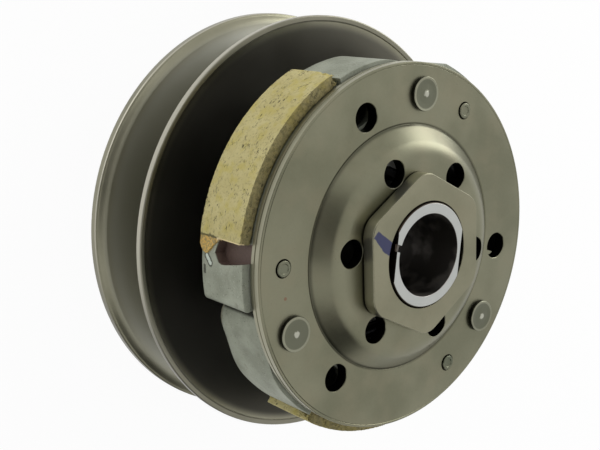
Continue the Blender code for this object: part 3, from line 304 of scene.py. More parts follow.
@dataclass(frozen=True)
class SatinSteel:
    """Stamped steel with a cloudy olive phosphate finish."""

    name: str
    light: Point = tone(127, 126, 106)
    dark: Point = tone(106, 106, 87)
    warm: Point = tone(131, 125, 104)
    # Dust and grime, and also painted shade on the walls, in the valley and beside the nut
    grime_and_shade: Point = tone(26, 25, 21)
    sheared: Point = tone(160, 158, 138)
    hollow: Point = tone(84, 86, 72)
    centre: Point = tone(168, 168, 154)
    rust: Point = tone(120, 62, 50)
    # Painted highlight for the upper part of the nut's side walls
    rim: Point = tone(190, 188, 166)
    marking: Point = tone(38, 42, 82)
    rust_spot: Point = (-36.7, -18.85, PLATE_FRONT)
    head_height: float = 61.6
    stroke_start: Point = (-20.6, 1.6)
    stroke_end: Point = (-13.1, -1.5)
    roughness: float = 0.29
    plate: bool = False
    nut: bool = False
    centres: bool = False

    def build(self) -> bpy.types.Material:
        """Builds the material.

        Returns:
            The material, with the marks of the plate, the nut or the pin heads.
        """
        surface = Surface(self.name)
        clouds = surface.cloud(22.0, 3.0).rise(0.35, 0.65)
        patches = surface.cloud(9.0, 4.0).rise(0.42, 0.72)
        mottle = surface.cloud(0.9, 3.0)
        surface.colour = surface.blend(clouds * 0.7 + mottle * 0.3, self.dark, self.light)
        surface.coat(patches * 0.35, self.warm)
        dusty = surface.grains(0.5).rise(0.20, 0.08) * surface.cloud(3.0, 3.0).rise(0.5, 0.64)
        surface.coat(dusty * 0.35, self.grime_and_shade)
        if self.plate:
            self.mark_plate(surface, mottle)
        if self.nut:
            # Painted shade on the nut's side walls, with a painted highlight on their upper part
            sides = surface.facing_up().rise(0.5, 0.2) * surface.radius().rise(15.0, 16.0)
            surface.coat(sides * 0.35, self.grime_and_shade)
            surface.coat(sides * surface.z.rise(63.6, 66.8) * 0.9, self.rim)
            surface.coat(self.stroke(surface), self.marking)
        else:
            # Painted shade on the sideways walls of the holes and the pins
            walls = surface.facing_up().rise(0.5, 0.2) * surface.radius().rise(48.8, 48.4)
            surface.coat(walls * 0.92, self.grime_and_shade)
        if self.centres:
            self.mark_centres(surface)
        surface.relief(mottle * 0.6 + surface.cloud(0.25, 2.0) * 0.4, 0.012)
        metal = 1.0 - self.stroke(surface) * 0.85 if self.nut else 1.0
        return surface.dress(metal, self.roughness + clouds * 0.06 + mottle * 0.05)

    def mark_plate(self, surface: Surface, mottle: Reading) -> None:
        """Lays on the rust spot, the painted shade in the valley, the painted shadow beside the nut and the
        sheared edge.

        Args:
            surface: The material.
            mottle: Its fine mottle.
        """
        surface.coat(surface.away(self.rust_spot).rise(0.55, 0.35) * 0.5, self.rust)
        radius = surface.radius()
        # Painted shade in the valley round the dome
        valley = radius.rise(32.2, 32.9) * radius.rise(33.8, 33.2) * surface.z.rise(61.2, 60.2)
        surface.coat(valley * 0.5, self.grime_and_shade)
        # Painted shadow on the plate on the nut's -X side
        painted_nut_shadow = radius.rise(26.0, 19.0) * surface.x.rise(-6.0, -14.0) * (0.75 + mottle * 0.4)
        surface.coat(painted_nut_shadow * 0.6, self.grime_and_shade)
        edge = radius.rise(49.0, 49.1) * surface.facing_up().rise(0.6, 0.3)
        surface.coat(edge * 0.85, self.sheared)

    def mark_centres(self, surface: Surface) -> None:
        """Lays on the darker hollow of each pin head and its bright middle.

        Args:
            surface: The material.
        """
        marks = [surface.away((*polar(PIVOT_CIRCLE, PIVOT_ANGLE + THIRD * index), self.head_height))
                 for index in range(SHOE_COUNT)]
        near = marks[0].least(marks[1]).least(marks[2])
        surface.coat(near.rise(4.0, 3.7) * 0.75, self.hollow)
        surface.coat((near + surface.cloud(0.7, 3.0) * 0.9).rise(1.5, 1.05), self.centre)

    def stroke(self, surface: Surface) -> Reading:
        """Masks the brush stroke of marking paint across the nut's rim.

        Args:
            surface: The material.

        Returns:
            The mask, 1 where the paint is.
        """
        first = Vector(self.stroke_start)
        along = (Vector(self.stroke_end) - first).normalized()
        run = (surface.x - first.x) * along.x + (surface.y - first.y) * along.y
        side = (surface.x - first.x) * -along.y + (surface.y - first.y) * along.x
        ragged = surface.cloud(1.1, 3.0) * 0.7
        across = (abs(side) + ragged + abs(run - 5.2) * 0.13).rise(2.2, 1.9)
        inside = (run + ragged).rise(0.1, 0.5) * (run + ragged).rise(9.0, 8.6)
        return across * inside * surface.z.rise(67.6, 68.0)


@dataclass(frozen=True)
class TurnedSteel:
    """Pulley steel with fine turning lines round the shaft."""

    name: str
    light: Point = tone(150, 147, 128)
    dark: Point = tone(112, 111, 92)
    # Painted shade, and a deeper painted shade, for the dish and the rim's walls towards -Y
    painted_shade: Point = tone(86, 84, 78)
    painted_deep_shade: Point = tone(34, 34, 31)
    worn: Point = tone(184, 181, 166)
    cone: Point = tone(168, 168, 159)
    roughness: float = 0.27
    dished: bool = False

    def build(self) -> bpy.types.Material:
        """Builds the material.

        Returns:
            The material, with painted shade on the rim's side walls towards -Y and in the dish, or the
            cone's clean metal.
        """
        surface = Surface(self.name)
        radius = surface.radius()
        across = surface.vector(radius * (0.55 * MM), 0.0, surface.z * (0.2 * MM))
        grooves = surface.vector(radius * (6.0 * MM), surface.turn() * (0.6 * MM), 0.0)
        bands = surface.cloud(1.0, 2.0, across)
        lines = surface.cloud(1.0, 3.0, grooves)
        clouds = surface.cloud(26.0, 3.0).rise(0.32, 0.68)
        mottle = surface.cloud(1.3, 3.0)
        surface.colour = surface.blend(clouds * 0.45 + bands * 0.4 + mottle * 0.15, self.dark, self.light)
        upright = abs(surface.facing_up()).rise(0.9, 0.6) * radius.rise(59.4, 59.6)
        inner = surface.facing_up().rise(0.0, 0.3)
        # Painted shade on the rim's side walls towards -Y
        shaded_side = surface.y.rise(-10.0, -46.0)
        surface.coat(upright * shaded_side * 0.5, self.painted_shade)
        upright = upright * (1.0 - shaded_side)
        if self.dished:
            surface.coat(upright * 0.85, self.worn)
            # Painted shade on the lip and in the dish, deeper towards -Y
            lip = inner * radius.rise(58.3, 58.5)
            surface.coat(lip * 0.35, self.painted_shade)
            inner = inner * radius.rise(58.4, 56.0)
            surface.coat(inner * 0.8, self.painted_shade)
            surface.coat(inner * shaded_side * 0.6, self.painted_deep_shade)
        else:
            upright = upright * surface.z.rise(2.3, 2.6)
            surface.coat(upright * 0.85, self.worn)
            inner = inner * radius.rise(58.8, 54.5)
            surface.coat(inner * 0.8, self.cone)
        surface.relief(lines * 0.7 + mottle * 0.3, 0.010)
        rough = self.roughness + clouds * 0.05 + lines * 0.06 + inner * 0.07
        return surface.dress(1.0, rough)


@dataclass(frozen=True)
class GroundSteel:
    """The hub sleeve's steel: bright on its ground end and darker inside the bore."""

    name: str = "ground_sleeve_steel"
    bright: Point = tone(182, 184, 180)
    grey: Point = tone(164, 166, 162)
    bore: Point = tone(92, 88, 83)
    bore_pale: Point = tone(158, 153, 146)
    thread: Point = tone(58, 50, 42)
    end_height: float = 69.4

    def build(self) -> bpy.types.Material:
        """Builds the material.

        Returns:
            The material.
        """
        surface = Surface(self.name)
        radius = surface.radius()
        clouds = surface.cloud(7.0, 3.0)
        drawn = surface.vector(surface.turn() * (9.0 * MM), radius * (0.4 * MM), surface.z * (2.5 * MM))
        streaks = surface.cloud(1.0, 3.0, drawn)
        end = surface.z.rise(self.end_height - 0.12, self.end_height - 0.04)
        end = end * surface.facing_up().rise(0.8, 0.95)
        surface.colour = surface.blend(clouds * 0.7 + streaks * 0.3, self.grey, self.bright)
        inside = radius.rise(14.9, 14.7) * (1.0 - end)
        surface.coat(inside, surface.blend(clouds.rise(0.42, 0.62), self.bore, self.bore_pale))
        surface.coat(inside * radius.rise(11.6, 11.8) * surface.z.rise(60.0, 61.0), self.thread)
        surface.coat(radius.rise(16.5, 16.9) * 0.7, self.thread)
        surface.relief(streaks * 0.6 + surface.cloud(0.4, 2.0) * 0.4, 0.006)
        return surface.dress(1.0, 0.30 + streaks * 0.10 + inside * 0.06)


@dataclass(frozen=True)
class CastAluminium:
    """Die-cast shoe metal with a fine sandy skin."""

    name: str = "cast_shoe_aluminium"
    light: Point = tone(176, 180, 164)
    dark: Point = tone(132, 136, 120)
    grime_and_shade: Point = tone(84, 82, 64)
    shade: Point = tone(40, 38, 30)
    rust: Point = tone(98, 80, 72)
    glint: Point = tone(212, 218, 204)
    scrape: Point = tone(204, 212, 200)
    side_radius: float = 51.1

    def build(self) -> bpy.types.Material:
        """Builds the material.

        Returns:
            The material, with the rusty recess and the scrape and slit beside it.
        """
        surface = Surface(self.name)
        grain = surface.cloud(0.55, 4.0, None, 0.65)
        clouds = surface.cloud(8.0, 4.0).rise(0.35, 0.7)
        surface.colour = surface.blend(clouds * 0.6 + grain * 0.4, self.dark, self.light)
        stains = surface.cloud(4.0, 5.0, None, 0.6).rise(0.56, 0.74)
        radius = surface.radius()
        third = (surface.turn() * (1.5 / math.pi) + 2.0).fraction()
        recess = third.rise(0.578, 0.583) * third.rise(0.645, 0.641) * surface.z.rise(44.6, 45.0)
        recess = recess * radius.rise(50.95, 50.75) * radius.rise(46.8, 47.2)
        pocket = surface.z.rise(55.9, 54.5) * radius.rise(35.2, 35.8) * radius.rise(46.4, 45.8)
        front = surface.facing_up().rise(0.6, 0.8) * surface.z.rise(56.2, 56.4)
        recess = recess * (1.0 - front)
        streak = self.row(surface, [(195.5 + 0.45 * step, 42.2 + 0.38 * step) for step in range(5)])
        slit = self.row(surface, [(198.6 + 0.45 * step, 41.3) for step in range(5)])
        streak += grain * 0.6
        slit += grain * 0.5
        pores = surface.grains(0.9).rise(0.22, 0.08) * surface.cloud(5.0, 3.0).rise(0.42, 0.6)
        surface.coat((stains * 0.4).most(pores * 0.7), self.grime_and_shade)
        surface.coat(pocket * 0.88, self.shade)
        glints = surface.grains(0.55).rise(0.24, 0.10) * surface.cloud(3.0, 3.0).rise(0.42, 0.58)
        surface.coat(glints * 0.45, self.glint)
        surface.coat(recess, self.rust)
        surface.coat(streak.rise(1.45, 1.15).most(slit.rise(0.85, 0.6)) * 0.75, self.shade)
        surface.coat(streak.rise(0.95, 0.75), self.scrape)
        surface.relief(grain * 0.7 + surface.grains(0.8) * 0.3 - pores * 0.4, 0.16)
        rough = 0.5 + grain * 0.12 + front * 0.3
        metal = 0.75 - recess * 0.6 - front * 0.6
        return surface.dress(metal, rough)

    def row(self, surface: Surface, spots: list[tuple[float, float]]) -> Reading:
        """Measures the distance to the nearest of a row of spots on the shoe's round side.

        Args:
            surface: The material that the distance is read in.
            spots: Angle in degrees and height in millimetres of each spot.

        Returns:
            The distance in millimetres.
        """
        ways = [surface.away((*polar(self.side_radius, angle), height)) for angle, height in spots]
        nearest = ways[0]
        for way in ways[1:]:
            nearest = nearest.least(way)
        return nearest


@dataclass(frozen=True)
class FrictionLining:
    """Pressed friction material: a yellow matrix with dark fibres, pits and rubbing streaks."""

    name: str = "friction_lining"
    light: Point = tone(208, 198, 144)
    middle: Point = tone(190, 178, 120)
    dark: Point = tone(142, 128, 80)
    side: Point = tone(132, 118, 74)
    pit: Point = tone(62, 58, 34)
    glue: Point = tone(214, 172, 78)
    fresh: Point = tone(250, 230, 178)
    yellow: Point = tone(194, 180, 96)
    drip_edge: float = -2.953
    chip_edge: float = -2.979

    def build(self) -> bpy.types.Material:
        """Builds the material.

        Returns:
            The material, with the glue drip and the chipped end of the first lining.
        """
        surface = Surface(self.name)
        radius = surface.radius()
        turn = surface.turn()
        round_about = surface.vector(turn * (17.0 * MM), radius * MM, surface.z * MM)
        drawn = surface.vector(turn * (52.0 * 0.45 * MM), radius * MM, surface.z * MM)
        clouds = surface.cloud(6.0, 4.0).rise(0.32, 0.68)
        streaks = surface.cloud(1.2, 4.0, round_about, 0.6)
        mottle = surface.cloud(0.7, 4.0, None, 0.65)
        surface.colour = surface.blend(clouds * 0.5 + streaks * 0.5, self.middle, self.light)
        surface.coat(mottle.rise(0.50, 0.72) * 0.6, self.dark)
        surface.coat(surface.cloud(3.4, 4.0).rise(0.48, 0.66) * 0.65, self.yellow)
        specks = surface.grains(1.4, drawn).rise(0.24, 0.12) * surface.cloud(2.6, 2.0).rise(0.50, 0.60)
        fine = surface.grains(0.62, drawn).rise(0.26, 0.10) * surface.cloud(4.0, 2.0).rise(0.38, 0.62)
        cracks = abs(surface.cloud(2.2, 4.0, drawn, 0.6) - 0.5).rise(0.012, 0.002)
        cracks = cracks * surface.cloud(2.4, 2.0).rise(0.47, 0.57)
        pits = (specks * 0.85).most(fine * 0.45).most(cracks * 0.9)
        surface.coat(pits, self.pit)
        flank = surface.facing_up().rise(0.35, 0.8)
        ragged = surface.cloud(1.0, 5.0, None, 0.7)
        side = surface.blend(ragged.rise(0.35, 0.65), self.side, self.pit)
        surface.coat(flank * (0.35 + ragged * 0.5), side)
        first = turn.rise(-2.0, -2.1)
        below = surface.z.rise(47.6, 46.6)
        dripped = turn + surface.cloud(1.6, 3.0) * 0.035
        drip = dripped.rise(self.drip_edge - 0.003, self.drip_edge + 0.005) * first * below
        rim = dripped.rise(self.drip_edge - 0.013, self.drip_edge - 0.007)
        rim = rim * dripped.rise(self.drip_edge + 0.005, self.drip_edge - 0.001) * first
        glue = surface.blend(surface.cloud(0.6, 4.0).rise(0.40, 0.62) * 0.85, self.glue, self.side)
        surface.coat(drip * 0.9, glue)
        surface.coat(rim * below * 0.8, self.pit)
        chipped = turn.rise(self.chip_edge, self.chip_edge + 0.007) * first
        chipped = chipped * surface.z.rise(46.2, 46.8) * (radius - 50.2).rise(0.0, 0.4)
        surface.coat(chipped * 0.9, self.fresh)
        surface.relief(mottle * 0.4 + streaks * 0.3 - pits * 0.6, 0.14)
        rough = 0.86 - drip * 0.5
        return surface.dress(0.0, rough)


@dataclass(frozen=True)
class SmallPartMetal:
    """Plated, drawn or ground metal of the small pieces."""

    name: str
    light: Point
    dark: Point
    roughness: float
    patch: float = 3.0

    def build(self) -> bpy.types.Material:
        """Builds the material.

        Returns:
            The material.
        """
        surface = Surface(self.name)
        clouds = surface.cloud(self.patch, 4.0)
        fine = surface.cloud(0.35, 2.0)
        surface.colour = surface.blend(clouds.rise(0.3, 0.7), self.dark, self.light)
        surface.relief(clouds * 0.3 + fine * 0.7, 0.008)
        rough = self.roughness + clouds * 0.08 + fine * 0.04
        return surface.dress(1.0, rough)


@dataclass(frozen=True)
class MouldedPolymer:
    """Rubber or nylon with a fine matt skin."""

    name: str
    light: Point
    dark: Point
    roughness: float

    def build(self) -> bpy.types.Material:
        """Builds the material.

        Returns:
            The material.
        """
        surface = Surface(self.name)
        clouds = surface.cloud(2.5, 3.0)
        fine = surface.cloud(0.2, 2.0)
        surface.colour = surface.blend(clouds, self.dark, self.light)
        surface.relief(fine, 0.01)
        rough = self.roughness + clouds * 0.15
        return surface.dress(0.0, rough)


class Finishes:
    """Builds each finish once and hands it out."""

    def __init__(self) -> None:
        """Builds every material."""
        self.plate = SatinSteel("satin_plate_steel", plate=True).build()
        self.nut = SatinSteel("satin_nut_steel", light=tone(138, 135, 114), dark=tone(116, 115, 95),
                              roughness=0.30, nut=True).build()
        self.damper = SatinSteel("satin_damper_pin_steel", light=tone(116, 118, 101),
                                 dark=tone(88, 92, 76), roughness=0.36).build()
        self.pin = SatinSteel("satin_pin_steel", light=tone(140, 140, 122), dark=tone(118, 118, 101),
                              roughness=0.32, centres=True).build()
        self.fixed = TurnedSteel("turned_fixed_face").build()
        self.movable = TurnedSteel("turned_movable_face", light=tone(152, 149, 132), dished=True).build()
        self.sleeve = GroundSteel().build()
        self.shoe = CastAluminium().build()
        self.lining = FrictionLining().build()
        self.hub = SmallPartMetal("machined_hub_steel", tone(168, 168, 162), tone(140, 140, 132),
                                  0.28).build()
        self.zinc = SmallPartMetal("zinc_plate", tone(190, 188, 168), tone(160, 158, 136), 0.30,
                                   4.0).build()
        # The collar and the spring are darkened as painted shade, so that they stay dark where seen through
        # the holes
        self.collar = SmallPartMetal("oiled_collar_steel", tone(60, 58, 52), tone(42, 41, 37), 0.42,
                                     6.0).build()
        self.spring = SmallPartMetal("oiled_spring_steel", tone(72, 72, 74), tone(46, 46, 48),
                                     0.32).build()
        self.bearing = SmallPartMetal("bearing_steel", tone(206, 206, 208), tone(180, 180, 184),
                                      0.18).build()
        self.rubber = MouldedPolymer("seal_rubber", tone(40, 39, 38), tone(26, 26, 26), 0.55).build()
        self.nylon = MouldedPolymer("seat_nylon", tone(34, 34, 35), tone(24, 24, 25), 0.6).build()


def deselect_all() -> None:
    """Leaves edit mode and deselects every object."""
    if bpy.context.mode != "OBJECT":
        bpy.ops.object.mode_set(mode="OBJECT")
    bpy.ops.object.select_all(action="DESELECT")


class Piece:
    """One mesh that is shaped with Blender's own operators."""

    def __init__(self, name: str, start: Point) -> None:
        """Adds a small plane at a point and merges it to one vertex.

        Args:
            name: Name of the piece.
            start: Its first point in millimetres.
        """
        deselect_all()
        bpy.ops.mesh.primitive_plane_add(size=MM)
        self.solid = bpy.context.active_object
        self.solid.name = name
        self.solid.data.name = name
        self.edit()
        bpy.ops.mesh.select_mode(type="VERT")
        bpy.ops.mesh.select_all(action="SELECT")
        bpy.ops.mesh.merge(type="CENTER")
        bpy.ops.transform.translate(value=Vector(start) * MM)
        self.here = Vector(start)

    @classmethod
    def taken(cls, solid: bpy.types.Object) -> "Piece":
        """Wraps an object that exists, such as a primitive or a converted curve.

        Args:
            solid: The object.

        Returns:
            The piece, out of edit mode.
        """
        piece = cls.__new__(cls)
        piece.solid = solid
        piece.here = Vector((0, 0, 0))
        return piece

    @classmethod
    def primitive(cls, add: Callable, spot: Point, **sizes: object) -> "Piece":
        """Adds a primitive and keeps its place in its mesh.

        Args:
            add: Blender's operator for it.
            spot: Its middle in millimetres.
            sizes: The operator's other settings.

        Returns:
            The piece, out of edit mode.
        """
        deselect_all()
        add(location=tuple(part * MM for part in spot), **sizes)
        bpy.ops.object.transform_apply()
        return cls.taken(bpy.context.active_object)

    def edit(self) -> None:
        """Opens the piece in edit mode."""
        if bpy.context.mode != "EDIT_MESH":
            self.close()
            bpy.ops.object.mode_set(mode="EDIT")

    def close(self) -> None:
        """Leaves edit mode with the piece active."""
        deselect_all()
        bpy.context.view_layer.objects.active = self.solid
        self.solid.select_set(True)

    def walk(self, points: Iterable[Point]) -> None:
        """Extrudes the last vertex from point to point.

        Args:
            points: The points in millimetres.
        """
        for point in points:
            there = Vector(point)
            bpy.ops.mesh.extrude_vertices_move(TRANSFORM_OT_translate={"value": (there - self.here) * MM})
            self.here = there

    def heal(self) -> None:
        """Merges doubled points and turns every face outwards."""
        bpy.ops.mesh.select_all(action="SELECT")
        bpy.ops.mesh.remove_doubles(threshold=MERGE * MM)
        bpy.ops.mesh.normals_make_consistent(inside=False)

    def choose(self, test: Callable[[Vector], bool]) -> int:
        """Selects the edges of which both ends pass a test.

        Args:
            test: Takes a point in millimetres.

        Returns:
            How many are selected.
        """
        self.edit()
        bpy.ops.mesh.select_all(action="DESELECT")
        bpy.ops.mesh.select_mode(type="EDGE")
        mesh = bmesh.from_edit_mesh(self.solid.data)
        chosen = [edge for edge in mesh.edges if all(test(corner.co / MM) for corner in edge.verts)]
        for edge in chosen:
            edge.select_set(True)
        bmesh.update_edit_mesh(self.solid.data)
        return len(chosen)

    def soften(self, test: Callable[[Vector], bool], size: float, steps: int = 3) -> None:
        """Bevels the edges of which both ends pass a test.

        Args:
            test: Takes a point in millimetres.
            size: Width of the bevel in millimetres.
            steps: Number of its faces.
        """
        if self.choose(test):
            bpy.ops.mesh.bevel(offset=size * MM, segments=steps, profile=0.5, affect="EDGES",
                               clamp_overlap=True)

    def ease(self, size: float, *heights: float) -> None:
        """Breaks the edges that lie at some heights."""
        for height in heights:
            self.soften(at_height(height), size, 2)

    def cut(self, *tools: "Piece") -> None:
        """Cuts the piece with others, which are used up."""
        self.combine("DIFFERENCE", *tools)

    def join(self, *others: "Piece") -> None:
        """Adds others to the piece, which are used up."""
        self.combine("UNION", *others)

    def combine(self, operation: str, *others: "Piece") -> None:
        """Applies one Boolean modifier for each of the others.

        Args:
            operation: DIFFERENCE or UNION.
            others: The pieces that are used up.
        """
        for other in others:
            other.close()
            self.apply("BOOLEAN", operation=operation, solver="EXACT", object=other.solid)
            bpy.data.objects.remove(other.solid, do_unlink=True)

    def apply(self, kind: str, **settings: object) -> None:
        """Adds a modifier and applies it.

        Args:
            kind: The modifier's type.
            settings: Its settings.
        """
        self.close()
        modifier = self.solid.modifiers.new(kind.lower(), kind)
        for word, setting in settings.items():
            setattr(modifier, word, setting)
        bpy.ops.object.modifier_apply(modifier=modifier.name)

    def turn(self, angle: float) -> "Piece":
        """Turns the mesh round the shaft.

        Args:
            angle: The angle in degrees.

        Returns:
            The piece.
        """
        self.close()
        self.solid.data.transform(Matrix.Rotation(math.radians(angle), 4, "Z"))
        return self

    def copy(self, name: str) -> "Piece":
        """Copies the piece with a mesh of its own.

        Args:
            name: Name of the copy.

        Returns:
            The copy.
        """
        self.close()
        solid = self.solid.copy()
        solid.data = self.solid.data.copy()
        solid.name = name
        solid.data.name = name
        bpy.context.collection.objects.link(solid)
        return Piece.taken(solid)

    def dealt(self) -> list["Piece"]:
        """Copies the piece, whose name ends in 1, for the other shoes.

        Returns:
            The piece and its copies, each turned to its shoe.
        """
        word = self.solid.name[:-1]
        others = [self.copy(word + str(index + 1)).turn(THIRD * index) for index in range(1, SHOE_COUNT)]
        return [self] + others

    def shade(self, angle: float = 30.0) -> "Piece":
        """Shades the piece smooth below an angle, with normals that follow its large faces.

        Args:
            angle: The angle in degrees.

        Returns:
            The piece.
        """
        self.close()
        bpy.ops.object.shade_smooth_by_angle(angle=math.radians(angle))
        self.apply("WEIGHTED_NORMAL", mode="FACE_AREA", weight=80, keep_sharp=True)
        return self

    def stand_for(self, node: str, body: str, slot: str, material: bpy.types.Material) -> bpy.types.Object:
        """Dresses the piece and puts it in a CAD node's place.

        Args:
            node: Name of the node.
            body: Name of the body that it moves with.
            slot: The record's slot that its finish comes from; not used.
            material: Its material.

        Returns:
            The finished object.
        """
        self.close()
        self.solid.data.materials.clear()
        self.solid.data.materials.append(material)
        if body:
            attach(self.solid, body)
        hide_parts(node)
        self.solid.data.calc_loop_triangles()
        LOG.info("%s: %d triangles", self.solid.name, len(self.solid.data.loop_triangles))
        return self.solid


def turned_piece(name: str, profile: Sequence[Point], steps: int = 112, solid_core: bool = False) -> Piece:
    """Turns a section round the shaft, as on a lathe.

    Args:
        name: Name of the piece.
        profile: Points (radius, height) or (radius, height, rounding), in order round the section.
        steps: Number of sides of the round.
        solid_core: Whether the section starts and ends on the axis, rather than being a closed ring.

    Returns:
        The piece, open in edit mode.
    """
    piece = Piece(name, (profile[0][0], 0.0, profile[0][1]))
    rest = list(profile[1:]) + ([] if solid_core else [profile[0]])
    piece.walk([(corner[0], 0.0, corner[1]) for corner in rest])
    bpy.ops.mesh.select_all(action="SELECT")
    bpy.ops.mesh.spin(steps=steps, angle=math.tau, center=(0, 0, 0), axis=(0, 0, 1))
    piece.heal()
    for radius, height, rounding in (corner for corner in profile if len(corner) > 2):
        piece.soften(on_ring(radius, height), rounding, 4 if rounding > WIDE_ROUND else 3)
    return piece


def on_ring(radius: float, height: float) -> Callable[[Vector], bool]:
    """Makes a test for points on a ring round the shaft.

    Args:
        radius: Radius of the ring.
        height: Its height.

    Returns:
        The test.
    """
    def test(point: Vector) -> bool:
        """Tells whether a point lies on the ring."""
        return abs(point.z - height) < NEAR and abs(math.hypot(point.x, point.y) - radius) < NEAR
    return test


def at_height(height: float) -> Callable[[Vector], bool]:
    """Makes a test for points at a height.

    Args:
        height: The height.

    Returns:
        The test.
    """
    def test(point: Vector) -> bool:
        """Tells whether a point lies at the height."""
        return abs(point.z - height) < NEAR
    return test


def flat_piece(name: str, outline: Sequence[Point], low: float, high: float) -> Piece:
    """Fills a flat outline and extrudes it from one height to another.

    Args:
        name: Name of the piece.
        outline: Its points (x, y) in order.
        low: Lower height.
        high: Upper height.

    Returns:
        The piece, open in edit mode.
    """
    piece = Piece(name, (*outline[0][:2], low))
    piece.walk([(*point[:2], low) for point in list(outline[1:]) + [outline[0]]])
    bpy.ops.mesh.select_all(action="SELECT")
    bpy.ops.mesh.remove_doubles(threshold=MERGE * MM)
    bpy.ops.mesh.select_all(action="SELECT")
    bpy.ops.mesh.edge_face_add()
    bpy.ops.mesh.extrude_region_move(TRANSFORM_OT_translate={"value": (0, 0, (high - low) * MM)})
    piece.heal()
    return piece


def hole_tool(spot: Point, radius: float, low: float, top: float, chamfer: float = 0.25,
              steps: int = 48) -> Piece:
    """Makes a drill with a countersink, to cut a hole with a broken edge.

    Args:
        spot: Middle of the hole.
        radius: Its radius.
        low: Where the drill ends.
        top: Height of the surface that it is sunk into.
        chamfer: Width of the broken edge.
        steps: Number of its sides.

    Returns:
        The tool.
    """
    profile = [(0.0, low), (radius, low), (radius, top - chamfer), (radius + chamfer + OVER, top + OVER),
               (0.0, top + OVER)]
    tool = turned_piece("drill", profile, steps, solid_core=True)
    bpy.ops.mesh.select_all(action="SELECT")
    bpy.ops.transform.translate(value=(spot[0] * MM, spot[1] * MM, 0))
    return tool


def slot_tool(first: Point, second: Point, half_width: float, low: float, high: float) -> Piece:
    """Makes a cutter for a slot with round ends.

    Args:
        first: Middle of its first end.
        second: Middle of its second end.
        half_width: Half of its width.
        low: Lower height.
        high: Upper height.

    Returns:
        The tool.
    """
    heading = math.degrees(math.atan2(second[1] - first[1], second[0] - first[0]))
    outline = arc(first, half_width, heading + 90, heading + 270, 16)
    outline += arc(second, half_width, heading - 90, heading + 90, 16)
    return flat_piece("slot", outline, low, high)


def radial_piece(name: str, outline: Sequence[Point], angle: float, inner: float, outer: float) -> Piece:
    """Extrudes an outline outwards from the shaft.

    Args:
        name: Name of the piece.
        outline: Its points, as the distance round the shaft and the height.
        angle: Angle of the outline's zero.
        inner: Distance from the shaft at which it starts.
        outer: Distance at which it ends.

    Returns:
        The piece, out of edit mode.
    """
    piece = flat_piece(name, outline, inner, outer)
    piece.close()
    out = Vector((*polar(1.0, angle), 0.0))
    up = Vector((0.0, 0.0, 1.0))
    axes = Matrix((up.cross(out), up, out)).transposed()
    piece.solid.data.transform(axes.to_4x4())
    return piece


def wire_piece(name: str, path: Sequence[Point], radius: float, sides: int = 4) -> Piece:
    """Draws a round wire along a path as a curve and makes it a mesh.

    Args:
        name: Name of the piece.
        path: Its points in millimetres.
        radius: Radius of the wire.
        sides: Blender's bevel resolution of its section.

    Returns:
        The piece.
    """
    curve = bpy.data.curves.new(name, "CURVE")
    curve.dimensions = "3D"
    curve.bevel_depth = radius * MM
    curve.bevel_resolution = sides
    curve.use_fill_caps = True
    spline = curve.splines.new("POLY")
    spline.points.add(len(path) - 1)
    for knot, point in zip(spline.points, path):
        knot.co = (*(Vector(point) * MM), 1.0)
    solid = bpy.data.objects.new(name, curve)
    bpy.context.collection.objects.link(solid)
    piece = Piece.taken(solid)
    piece.close()
    bpy.ops.object.convert(target="MESH")
    piece.solid = bpy.context.active_object
    piece.edit()
    piece.heal()
    piece.close()
    bpy.ops.object.shade_smooth_by_angle(angle=math.radians(40))
    return piece


